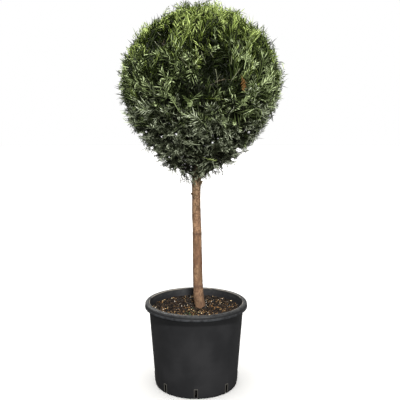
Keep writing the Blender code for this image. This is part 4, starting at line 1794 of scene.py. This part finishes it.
@dataclass(frozen=True)
class GapRule:
    """The gaps that the photograph shows, and about as many again for the other sides."""

    viewed_from: Point = (0.0125, -1.75, 0.80)
    shown_factor: float = 1.22
    others: int = 24
    seed: int = 5
    other_heights: tuple[float, float] = (0.685, 0.82)
    other_radii: tuple[float, float] = (0.0022, 0.0036)
    other_factor: float = 1.12
    tilt: float = 0.08
    axis_x: float = 0.005
    cone_foot_z: float = 0.655
    cone_slope: float = 1.1

    def gaps(self) -> SkyGaps:
        """The gaps, those of the other sides by chance inside the crown's lower cone."""
        rng = np.random.default_rng(self.seed)
        shown = np.array(SKY_PLACES)
        centres = np.stack([shown[:, 0], np.zeros(len(shown)), shown[:, 1]], axis=1)
        ways = unit(centres - np.array(self.viewed_from))
        turn = rng.uniform(0.0, math.pi, self.others)
        tilt = rng.normal(0.0, self.tilt, self.others)
        level = np.stack([np.cos(turn), np.sin(turn), tilt], axis=1)
        height = rng.uniform(*self.other_heights, self.others)
        aside = rng.uniform(-self.cone_slope, self.cone_slope, self.others)
        offset = (height - self.cone_foot_z) * aside
        places = [self.axis_x - np.sin(turn) * offset, np.cos(turn) * offset, height]
        radii = rng.uniform(*self.other_radii, self.others)
        return SkyGaps(
            np.concatenate([centres, np.stack(places, axis=1)]),
            np.concatenate([ways, unit(level)]),
            np.concatenate([self.shown_factor * shown[:, 2], self.other_factor * radii]),
        )


@dataclass(frozen=True)
class SprayForm:
    """One spray: the fingers' lengths in shares of its own, their angles, widths and ridges."""

    pairs: int
    first: float
    last: float
    finger_lengths: tuple[float, float]
    angles: tuple[float, float]
    width: float
    ridge: float
    axis_width: float
    axis_steps: int
    shaded_share: float = 0.30
    dim_fingers: float = 0.36
    axis_taper: Bands = ((0.0, 0.35, 1.0), (0.75, 1.0, 0.35))
    fullness: tuple[float, float] = (0.7, 1.5)
    variation: tuple[float, float] = (0.75, 1.25)
    turn_spread: float = 10.0
    curl: float = 0.20
    rooted: float = 0.15
    widest: float = 0.56

    @staticmethod
    def axes(sprays: Sprays, steps: int) -> Array:
        """Stations along the curved axis of each spray, as (sprays, stations, 3)."""
        u = np.linspace(0.0, 1.0, steps + 1)[None, :, None]
        straight = (sprays.tip - sprays.root - sprays.bend)[:, None] * u
        return sprays.root[:, None] + straight + sprays.bend[:, None] * u**2

    def add(
        self, bundle: Bundle, sprays: Sprays, gaps: SkyGaps, rng: np.random.Generator
    ) -> None:
        """Adds sprays, each a slim axis with alternate fingers in one plane.

        Args:
            bundle: where they go.
            sprays: their places.
            gaps: the gaps that they leave open.
            rng: the seeded random numbers.
        """
        sprays = sprays.moved(gaps.aside(self.axes(sprays, GAP_STATIONS), self.axis_width))
        sprays = sprays.kept(gaps.clear(self.axes(sprays, GAP_STATIONS), 0.0))
        count = len(sprays.root)
        span = sprays.tip - sprays.root - sprays.bend
        length = np.linalg.norm(span, axis=1)
        along = span / length[:, None]
        flat = unit(sprays.flat - along * np.sum(sprays.flat * along, axis=1)[:, None])
        side = np.cross(flat, along)
        axis = self.axes(sprays, self.axis_steps)
        u = np.linspace(0.0, 1.0, self.axis_steps + 1)[None, :, None]
        radii = np.interp(u[:, :, 0], *self.axis_taper) * self.axis_width / 2
        add_tubes(bundle, axis, np.repeat(radii, count, axis=0), 3, sprays.shaded)
        fullness = rng.uniform(*self.fullness, count)
        for k in range(2 * self.pairs):
            share = k / max(1, 2 * self.pairs - 1)
            u = between((self.first, self.last), share)
            start = sprays.root + along * (u * length)[:, None] + sprays.bend * u**2
            finger = between(self.finger_lengths, share) * length * fullness
            finger = finger * rng.uniform(*self.variation, count)
            turn = rng.uniform(-self.turn_spread, self.turn_spread, count)
            angle = np.radians(between(self.angles, share) + turn)[:, None]
            sense = 1.0 if k % 2 else -1.0
            curl = rng.normal(0.0, self.curl, count)[:, None]
            way = unit(along * np.cos(angle) + side * sense * np.sin(angle) + flat * curl)
            end = start + way * finger[:, None] + sprays.bend * (0.5 * u)
            widths = self.width * rng.uniform(*self.variation, count)
            dim = rng.random(count) < (1.0 if share < self.shaded_share else self.dim_fingers)
            slots = np.where(dim, sprays.shaded, sprays.slots)
            steps = np.linspace(self.rooted, 1.0, GAP_STATIONS // 2)[None, :, None]
            stations = start[:, None] + (end - start)[:, None] * steps
            free = gaps.clear(stations, self.width / 3)
            self.add_fingers(bundle, start[free], end[free], flat[free], widths[free], slots[free])

    def add_fingers(
        self, bundle: Bundle, start: Array, end: Array, flat: Array, widths: Array, slots: Array
    ) -> None:
        """Adds slim closed fingers of six faces, ridged on top and widest past their middle."""
        span = end - start
        way = unit(span)
        aside = unit(np.cross(way, flat))
        out = np.cross(aside, way)
        middle = start + span * self.widest
        half = aside * (widths / 2)[:, None]
        ridge = out * self.ridge
        points = np.stack([start, middle + half, middle + ridge, middle - half, end], axis=1)
        bundle.add(points, np.array(FINGER_FACES), slots)


@dataclass(frozen=True)
class Dip:
    """A dip in the crown's surface, either bare with its sprays darkened as painted shade or only
    out of round.
    """

    azimuth: float
    elevation: float
    radius: float
    depth: float


# Hollows where sprays are few, their sprays darkened as painted shade. The first three are the ones
# that the photograph shows.
HOLLOWS = (
    Dip(-75.5, 10.5, 10.6, 0.16),
    Dip(-86.0, 0.0, 6.5, 0.13),
    Dip(-129.0, 36.0, 9.5, 0.16),
    Dip(34.0, -14.0, 7.0, 0.14),
    Dip(18.0, 16.0, 7.0, 0.14),
    Dip(58.0, 38.0, 6.5, 0.14),
    Dip(92.0, -4.0, 7.0, 0.14),
    Dip(131.0, 24.0, 7.0, 0.14),
    Dip(-164.0, -10.0, 7.5, 0.15),
    Dip(170.0, 30.0, 6.0, 0.14),
)

# Places where the clipped ball is out of round
FLATS = (
    Dip(0.0, 60.0, 18.0, 0.070),
    Dip(0.0, 40.0, 13.0, 0.040),
    Dip(180.0, 40.0, 13.0, 0.042),
    Dip(180.0, 60.0, 15.0, 0.042),
    Dip(-2.0, -27.0, 14.0, 0.035),
    Dip(-90.0, 88.0, 16.0, 0.018),
    Dip(75.0, 30.0, 18.0, 0.030),
    Dip(110.0, -35.0, 14.0, 0.030),
)

# Bare stems that the photograph shows: azimuth and elevation of each end
BARE_STEMS = (
    ((-126.6, 31.8), (-119.6, 27.6)),
    ((-132.7, 26.3), (-126.3, 21.7)),
    ((-103.3, 18.3), (-98.1, 15.7)),
    ((-118.2, 5.3), (-112.7, 1.5)),
    ((-88.9, 23.4), (-86.0, 14.4)),
    ((-83.3, 23.4), (-81.0, 18.0)),
    ((-80.0, 11.0), (-78.6, 0.0)),
    ((-62.4, 12.2), (-69.8, 3.7)),
    ((-139.5, -25.6), (-119.8, -15.9)),
)


@dataclass(frozen=True)
class PlacedSpray:
    """A spray that the photograph shows: azimuth, elevation and reach of its ends, and its tone."""

    root: Point
    tip: Point
    hue: int
    tone: int


PLACED_SPRAYS = (
    PlacedSpray((-5.0, 76.0, 0.90), (0.0, 81.0, 1.012), 2, 3),
    PlacedSpray((0.0, 60.0, 0.90), (0.0, 68.0, 1.000), 2, 4),
    PlacedSpray((0.0, 45.0, 0.90), (0.0, 51.0, 1.005), 1, 2),
    PlacedSpray((0.0, 40.0, 0.90), (0.0, 46.0, 1.015), 1, 2),
    PlacedSpray((-8.0, -12.0, 0.92), (-2.0, -19.0, 1.000), 0, 1),
    PlacedSpray((-4.0, -14.0, 0.93), (0.0, -20.5, 1.030), 0, 1),
    PlacedSpray((-172.0, 10.0, 0.93), (180.0, 15.0, 1.020), 0, 2),
    PlacedSpray((-60.5, 11.5, 0.96), (-58.0, 21.5, 0.985), 1, 3),
    PlacedSpray((-105.0, -15.0, 0.96), (-109.5, -4.0, 0.985), 1, 3),
    PlacedSpray((-100.0, -14.0, 0.97), (-95.0, -9.5, 0.990), 1, 3),
    PlacedSpray((-90.0, -43.5, 0.97), (-105.0, -40.0, 0.985), 0, 3),
    PlacedSpray((-63.0, -14.5, 0.97), (-58.0, -6.5, 0.985), 1, 3),
    PlacedSpray((-86.0, -57.0, 0.97), (-66.0, -61.0, 0.985), 2, 4),
    PlacedSpray((-62.5, 7.5, 0.955), (-60.0, 0.5, 0.985), 3, 0),
    PlacedSpray((-60.5, 5.0, 0.955), (-61.5, -1.5, 0.985), 3, 0),
)


class WoodTint(Enum):
    """The plain colours of the crown's wood, in the order of its material slots."""

    TWIG_BROWN = (0.036, 0.028, 0.019)
    SHOOT_OLIVE = (0.070, 0.055, 0.026)
    STEM_PALE = (0.118, 0.126, 0.070)
    TWIG_DARK = (0.020, 0.016, 0.011)

    @property
    def slot(self) -> int:
        """Its material slot."""
        return list(WoodTint).index(self)


@dataclass(frozen=True)
class Crown:
    """Twigs and sprays of scale leaves, grown by the source's rule and carried further."""

    outline: Outline = Outline()
    palette: LeafPalette = LeafPalette()
    # The boughs' bark is greyer and much darker than the stem's: partly greyer bark, partly painted
    # shade inside the crown
    bough_bark: ThinBark = ThinBark(
        tan=(0.105, 0.082, 0.052), orange=(0.046, 0.032, 0.020), crown_tint=(0.105, 0.082, 0.052)
    )
    gaps: SkyGaps = GapRule().gaps()
    seed: int = 41
    twig_counts: tuple[tuple[Tier, int], ...] = (
        (Tier.LOWER, 8),
        (Tier.MIDDLE, 7),
        (Tier.UPPER, 7),
        (Tier.CAP, 10),
    )
    fork_reach: float = 0.77
    stem_forward: float = 0.012
    stem_forward_share: float = 0.35
    stem_steps: int = 8
    stem_taper: float = 0.70
    twig_reach: float = 0.80
    twig_first: float = 2.0
    twig_steps: int = 6
    twig_jitter: float = 0.03
    twig_radii: tuple[float, float] = (0.0024, 0.00144)
    shoots: int = 42
    cap_factor: float = 1.35
    lower_factor: float = 0.30
    shoot_reach: tuple[float, float] = (0.80, 0.88)
    shoot_places: tuple[float, float] = (2.6, 5.6)
    shoot_steps: int = 4
    shoot_aims: tuple[float, float] = (0.37, 0.012)
    shoot_curve: float = 0.6
    shoot_radii: tuple[float, float] = (0.00117, 0.00072)
    tuft: int = 10
    tuft_places: tuple[float, float] = (2.4, 3.999)
    tuft_spread: float = 10.5
    sweep: float = 10.0
    sweep_spread: tuple[float, float] = (0.2, 1.8)
    upward_pull: float = 0.16
    arch: float = 0.16
    bend_spread: float = 0.15
    flat_spread: float = 0.7
    tip_reach: tuple[float, float] = (0.900, 0.970)
    tuft_reach: float = 0.016
    # Values over the crown, each with its elevations in degrees
    sweep_by_rise: Bands = ((-75.0, -40.0, 0.0, 45.0, 80.0), (-0.4, 0.2, 1.0, 0.7, 0.0))
    ragged_by_rise: Bands = ((-60.0, -40.0, 0.0, 30.0), (1.2, 1.9, 1.5, 1.0))
    reach_by_rise: Bands = ((-80.0, -66.0, -55.0, -42.0), (0.07, 0.055, 0.02, 0.0))
    pull_by_rise: Bands = ((-70.0, -20.0, 20.0), (-0.25, 0.5, 1.0))
    thinning_by_rise: Bands = ((-75.0, -50.0, -22.0), (0.40, 0.12, 0.0))
    # Tones over the crown, each with its heights from 0 at the foot to 1 at the top; the tone by
    # height is painted light and shade, lightest at the top
    tone_by_height: Bands = ((0.0, 0.3, 0.6, 0.8, 0.93, 1.0), (2.80, 2.45, 1.58, 1.68, 3.05, 3.85))
    spread_by_height: Bands = ((0.0, 0.5, 1.0), (1.9, 1.45, 1.1))
    shoot_tone: float = 0.45
    patch_tone: float = 0.9
    patch_scale: float = 4.2
    # Painted shade: how much darker a spray is for its tip lying deeper in the crown
    depth_tone: float = 24.0
    # Painted shade: how much darker the sprays in the hollows are
    dip_tone: float = 18.0
    # Painted light: how much lighter the sprays at the crown's left and right sides are, and the
    # weight of each side
    side_tone: float = 1.05
    left_and_right: tuple[float, float] = (1.3, 0.9)
    stray_reach: float = 1.015
    stray_share: float = 0.04
    dead_share: float = 0.0008
    dip_thinning: float = 4.8
    # Sprays behind the surface: how many a cell has, their reach and their tone, dark partly as
    # duller inner foliage and partly as painted shade
    inner_groups: tuple[tuple[int, tuple[float, float], float], ...] = (
        (170, (0.72, 0.88), 0.3),
        (60, (0.42, 0.70), 0.0),
    )
    inner_aims: tuple[float, float] = (0.13, 0.02)
    inner_dip: float = 0.8
    inner_turn: float = 0.45
    inner_lengths: tuple[float, float] = (0.045, 0.070)
    inner_bend: float = 0.004
    inner_tone_spread: float = 0.5
    placed_bend: float = -0.12
    bare_stems: int = 70
    bare_rise: float = 60.0
    bare_turns: tuple[float, float] = (0.5, 2.6)
    bare_steps: tuple[float, float] = (0.06, 0.13)
    bare_start_reach: tuple[float, float] = (0.90, 0.95)
    bare_end_reach: tuple[float, float] = (0.92, 0.97)
    bare_sway: float = 0.12
    bare_radii: tuple[float, float] = (0.0009, 0.0005)
    foot_twigs: int = 64
    foot_rises: tuple[float, float] = (-74.0, -44.0)
    foot_reach: tuple[float, float] = (0.92, 0.98)
    foot_heights: tuple[float, float] = (0.668, 0.715)
    foot_sag: float = 0.10
    foot_radii: tuple[float, float] = (0.0012, 0.0006)
    form: SprayForm = SprayForm(
        6, 0.38, 0.95, (0.29, 0.14), (42.0, 27.0), 0.0023, 0.0011, 0.0024, 3
    )
    inner_form: SprayForm = SprayForm(
        3, 0.25, 0.80, (0.5, 0.3), (50.0, 34.0), 0.006, 0.0014, 0.003, 1
    )
    dead_form: SprayForm = SprayForm(
        4, 0.15, 0.95, (0.50, 0.25), (40.0, 24.0), 0.0009, 0.0005, 0.0010, 3
    )

    def stem_path(self, cell: Cell, limb: Array) -> Array:
        """Stations of the mass's stem, from its limb's tip to the fork."""
        tip = limb[-1, :3]
        heading = unit(tip - limb[-2, :3])
        half = np.array([0.5])
        way = UPWARD if cell.tier is Tier.CAP else cell.direction(half, half)[0]
        end = self.outline.point(way, self.fork_reach)
        forward = self.stem_forward_share * float(np.linalg.norm(end - tip))
        middle = tip + heading * max(self.stem_forward, forward)
        return bent_paths(tip[None], middle[None], end[None], self.stem_steps)[0]

    def grow_twigs(self, cell: Cell, stem: Array, rng: np.random.Generator) -> Array:
        """Paths of the first twigs, which leave the stem one after another."""
        count = dict(self.twig_counts)[cell.tier]
        aims = cell.aims(count, 0.0, self.twig_jitter, rng)
        ends = self.outline.point(aims, self.twig_reach)
        places = rng.uniform(self.twig_first, self.stem_steps, count)
        low = places.astype(int).clip(0, self.stem_steps - 1)
        start = stem[low] + (stem[low + 1] - stem[low]) * (places - low)[:, None]
        heading = unit(stem[low + 1] - stem[low])
        reach = np.linalg.norm(ends - start, axis=1)[:, None]
        middle = start + unit(heading + unit(ends - start)) * reach * 0.5
        return bent_paths(start, middle, ends, self.twig_steps)

    def grow_shoots(
        self, cell: Cell, twigs: Array, rng: np.random.Generator
    ) -> tuple[Array, Array]:
        """Paths of the finer shoots, each from the nearest twig, and their aims."""
        count = int(self.shoots * (self.cap_factor if cell.tier is Tier.CAP else 1.0))
        aims = cell.aims(count, *self.shoot_aims, rng)
        reach = rng.uniform(*self.shoot_reach, count) - self.dip_at(aims, HOLLOWS)
        ends = self.outline.point(aims, reach)
        distance = np.linalg.norm(ends[:, None] - twigs[None, :, -1], axis=2)
        parent = distance.argmin(axis=1)
        place = rng.uniform(*self.shoot_places, count)
        low = place.astype(int)
        start = twigs[parent, low]
        start = start + (twigs[parent, low + 1] - start) * (place - low)[:, None]
        heading = unit(twigs[parent, low + 1] - twigs[parent, low])
        reach = np.linalg.norm(ends - start, axis=1)[:, None]
        middle = start + unit(heading + self.shoot_curve * unit(ends - start)) * reach * 0.5
        return bent_paths(start, middle, ends, self.shoot_steps), aims

    def patches(self, ways: Array) -> Array:
        """Slow changes of tone over the crown, from about -1 to 1."""
        places = [Vector(way) * self.patch_scale for way in ways]
        return np.array([noise.fractal(place, 0.8, 2.0, 3) for place in places])

    @staticmethod
    def dip_at(ways: Array, dips: Sequence[Dip]) -> Array:
        """How deep the crown's surface dips along each way."""
        depth = np.zeros(len(ways))
        for dip in dips:
            middle = ways_at(np.array(dip.azimuth), np.array(dip.elevation))
            apart = np.degrees(np.arccos(np.clip(ways @ middle, -1.0, 1.0)))
            depth = np.maximum(depth, dip.depth * np.exp(-((apart / dip.radius) ** 4)))
        return depth

    def height_of(self, points: Array) -> Array:
        """Heights in the crown, from 0 at its foot to 1 at its top."""
        return (points[:, 2] - self.outline.foot_z) / (self.outline.top_z - self.outline.foot_z)

    def add_tufts(
        self, shoots: Array, aims: Array, bundle: Bundle, rng: np.random.Generator
    ) -> None:
        """Adds the tufts of sprays whose tips make the clipped surface.

        Args:
            shoots: the paths of the shoots that carry them.
            aims: the shoots' aims.
            bundle: where the sprays go.
            rng: the seeded random numbers.
        """
        parent = np.repeat(np.arange(len(aims)), self.tuft)
        count = len(parent)
        aim = aims[parent]
        rise = np.degrees(np.arcsin(np.clip(aim[:, 2], -1.0, 1.0)))
        level = across(aim)
        upright = np.cross(level, aim)
        upright = upright * np.where(upright[:, 2:] < 0.0, -1.0, 1.0)
        sweep = self.sweep * np.interp(rise, *self.sweep_by_rise)
        sweep = sweep * rng.uniform(*self.sweep_spread, count)
        up = np.radians(sweep + rng.normal(0.0, self.tuft_spread, count))
        side = np.radians(rng.normal(0.0, self.tuft_spread, count))
        ways = unit(aim + upright * up[:, None] + level * side[:, None])
        place = rng.uniform(*self.tuft_places, count)
        low = place.astype(int)
        root = shoots[parent, low]
        root = root + (shoots[parent, low + 1] - root) * (place - low)[:, None]
        halfway = unit(ways + aim)
        dip = np.maximum(self.dip_at(ways, HOLLOWS), self.dip_at(halfway, HOLLOWS))
        ragged = self.tuft_reach * np.interp(rise, *self.ragged_by_rise)
        reach = rng.uniform(*self.tip_reach, count)
        reach = reach + ragged * rng.normal(0.0, 1.0, len(aims))[parent]
        # Painted shade: tips that lie deeper in the crown get darker tones
        lit = self.depth_tone * (reach - sum(self.tip_reach) / 2)
        reach = np.minimum(reach, self.stray_reach)
        reach = np.where(rng.random(count) < self.stray_share, self.stray_reach, reach) - dip
        reach = reach - self.dip_at(ways, FLATS)
        reach = reach + np.interp(rise, *self.reach_by_rise)
        tip = self.outline.point(ways, reach)
        length = np.linalg.norm(tip - root, axis=1)
        pull = np.interp(rise, *self.pull_by_rise) * self.upward_pull
        bend = UPWARD * (pull * length)[:, None] - ways * (self.arch * length)[:, None]
        bend = bend + rng.normal(0.0, self.bend_spread, (count, 3)) * length[:, None]
        flat = ways + rng.normal(0.0, self.flat_spread, (count, 3))
        height = self.height_of(tip)
        # Painted light and shade: a base tone by height in the crown
        base = np.interp(height, *self.tone_by_height)
        clump = rng.normal(0.0, self.shoot_tone, len(aims))[parent]
        clump = clump + self.patch_tone * self.patches(ways)
        spread = np.interp(height, *self.spread_by_height)
        # Painted light: the sprays at the crown's left and right sides get lighter tones
        side_light_balance = np.where(ways[:, 0] < 0.0, *self.left_and_right)
        lit = lit + self.side_tone * ways[:, 0] ** 4 * side_light_balance
        # Painted shade: darker tones in the hollows
        tone = base + clump + lit + rng.normal(0.0, 1.0, count) * spread - self.dip_tone * dip
        slots, shaded = self.palette.deal(height, tone, rng)
        dead = rng.random(count) < self.dead_share
        slots = np.where(dead, self.palette.dead_slot, slots)
        thin = np.interp(rise, *self.thinning_by_rise)
        keep = rng.random(count) > np.maximum(self.dip_thinning * dip, thin)
        sprays = Sprays(root, tip, flat, bend, slots, shaded).kept(keep)
        self.form.add(bundle, sprays, self.gaps, rng)

    def inner_growth(self, cell: Cell, bundle: Bundle, rng: np.random.Generator) -> None:
        """Adds the darker sprays behind the surface, dark partly as duller inner foliage and partly
        as painted shade.
        """
        factor = {Tier.CAP: self.cap_factor, Tier.LOWER: self.lower_factor}.get(cell.tier, 1.0)
        for total, reaches, tone in self.inner_groups:
            count = int(total * factor)
            ways = cell.aims(count, *self.inner_aims, rng)
            reach = rng.uniform(*reaches, count) - self.inner_dip * self.dip_at(ways, HOLLOWS)
            tip = self.outline.point(ways, reach)
            heading = unit(ways + rng.normal(0.0, self.inner_turn, (count, 3)))
            root = tip - heading * rng.uniform(*self.inner_lengths, count)[:, None]
            flat = rng.normal(0.0, 1.0, (count, 3))
            bend = rng.normal(0.0, self.inner_bend, (count, 3))
            tones = tone + rng.normal(0.0, self.inner_tone_spread, count)
            slots, shaded = self.palette.deal(self.height_of(tip), tones, rng)
            sprays = Sprays(root, tip, flat, bend, slots, shaded)
            self.inner_form.add(bundle, sprays, self.gaps, rng)

    def placed_sprays(self) -> Sprays:
        """The sprays that the photograph shows, lying nearly flat on the crown."""
        ends = []
        for row in zip(*((spray.root, spray.tip) for spray in PLACED_SPRAYS)):
            azimuth, elevation, reach = np.array(row).T
            ends.append(self.outline.point(ways_at(azimuth, elevation), reach))
        root, tip = ends
        tones = len(self.palette.tones)
        slots = np.array([spray.hue * tones + spray.tone for spray in PLACED_SPRAYS])
        outward = unit(root - np.array(self.outline.centre))
        bend = self.placed_bend * outward * np.linalg.norm(tip - root, axis=1)[:, None]
        return Sprays(root, tip, outward, bend, slots, slots)

    def bare_stem_paths(self, rng: np.random.Generator) -> Array:
        """Paths of the short bare stems that show between the sprays."""
        azimuth = rng.uniform(-180.0, 180.0, self.bare_stems)
        rise = rng.uniform(-self.bare_rise, self.bare_rise, self.bare_stems)
        first = ways_at(azimuth, rise)
        level = across(first)
        upright = np.cross(level, first)
        turn = rng.uniform(*self.bare_turns, self.bare_stems)[:, None]
        step = rng.uniform(*self.bare_steps, self.bare_stems)[:, None]
        second = unit(first + (level * np.cos(turn) + upright * np.sin(turn)) * step)
        shown = np.array(BARE_STEMS)
        first = np.concatenate([ways_at(shown[:, 0, 0], shown[:, 0, 1]), first])
        second = np.concatenate([ways_at(shown[:, 1, 0], shown[:, 1, 1]), second])
        count = len(first)
        start = self.outline.point(first, rng.uniform(*self.bare_start_reach, count))
        end = self.outline.point(second, rng.uniform(*self.bare_end_reach, count))
        sway = rng.normal(0.0, self.bare_sway, (count, 3))
        sway = sway * np.linalg.norm(end - start, axis=1)[:, None]
        return bent_paths(start, (start + end) / 2 + sway, end, 5)

    def foot_twig_paths(self, trunk: Trunk, rng: np.random.Generator) -> Array:
        """Paths of the thin twigs that leave the stem low down and show in the crown's foot."""
        number = np.arange(self.foot_twigs)
        azimuth = 360.0 * ((GOLDEN_SHARE * number) % 1.0)
        elevation = rng.uniform(*self.foot_rises, self.foot_twigs)
        reach = rng.uniform(*self.foot_reach, self.foot_twigs)
        end = self.outline.point(ways_at(azimuth, elevation), reach)
        heights = rng.uniform(*self.foot_heights, self.foot_twigs)
        start = np.array([trunk.centre_at(height) for height in heights])
        middle = (start + end) / 2
        middle[:, 2] -= self.foot_sag * np.linalg.norm(end - start, axis=1)
        return bent_paths(start, middle, end, self.twig_steps)

    @staticmethod
    def add_wood(
        wood: Bundle, paths: Array, radii: tuple[float, float], sides: int, tint: WoodTint
    ) -> None:
        """Adds paths as tubes that taper from one radius to the other."""
        taper = np.linspace(*radii, paths.shape[1])[None]
        add_tubes(wood, paths, np.repeat(taper, len(paths), axis=0), sides, tint.slot)

    def build(self, trunk: Trunk, effects: Effects) -> None:
        """Grows the boughs, the twigs and the sprays of every cell.

        Args:
            trunk: the trunk that carries them.
            effects: the shared shader groups.
        """
        leaves = self.palette.build(effects)
        cells = crown_cells()
        boughs = Boughs()
        limbs = {}
        for i, cell in enumerate(cells[:-1]):
            limbs[cell.name] = boughs.path(cell, i, trunk, self.outline)
        # The boughs' bark is darkened as painted shade inside the crown
        boughs.build(limbs, self.bough_bark.build("bough_bark", effects))
        limbs[cells[-1].name] = np.array(trunk.path(trunk.source_steps))
        wood = Bundle()
        for number, cell in enumerate(cells):
            rng = np.random.default_rng((self.seed, number))
            stem = self.stem_path(cell, limbs[cell.name])
            tip_radius = limbs[cell.name][-1, 3]
            radii = (tip_radius, self.stem_taper * tip_radius)
            self.add_wood(wood, stem[None], radii, 6, WoodTint.TWIG_BROWN)
            twigs = self.grow_twigs(cell, stem, rng)
            self.add_wood(wood, twigs, self.twig_radii, 5, WoodTint.TWIG_BROWN)
            shoots, aims = self.grow_shoots(cell, twigs, rng)
            self.add_wood(wood, shoots, self.shoot_radii, 3, WoodTint.SHOOT_OLIVE)
            sprays = Bundle()
            self.add_tufts(shoots, aims, sprays, rng)
            self.inner_growth(cell, sprays, rng)
            piece = sprays.build(f"sprays_{cell.name}", False)
            settle(piece, Slot.FOLIAGE, leaves, f"foliage_{cell.name}")
        rng = np.random.default_rng(self.seed)
        shown = Bundle()
        placed = self.placed_sprays()
        dead = placed.slots == self.palette.dead_slot
        self.form.add(shown, placed.kept(~dead), self.gaps, rng)
        self.dead_form.add(shown, placed.kept(dead), self.gaps, rng)
        settle(shown.build("sprays_shown", False), Slot.FOLIAGE, leaves)
        stems = self.bare_stem_paths(rng)
        self.add_wood(wood, stems, self.bare_radii, 4, WoodTint.STEM_PALE)
        foot = self.foot_twig_paths(trunk, rng)
        self.add_wood(wood, foot, self.foot_radii, 4, WoodTint.TWIG_DARK)
        tints = [PlainTint(tint.value).build(tint.name.lower(), effects) for tint in WoodTint]
        settle(wood.build("twigs", True), Slot.BARK, tints)


def main() -> None:
    """Builds the scene."""
    logging.basicConfig(level=logging.INFO, format="%(message)s")
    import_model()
    effects = Effects()
    Studio().build()
    NurseryPot().build(effects)
    PottingMix().build(effects)
    trunk = Trunk()
    trunk.build(effects)
    Crown().build(trunk, effects)


if __name__ == "__main__":
    main()
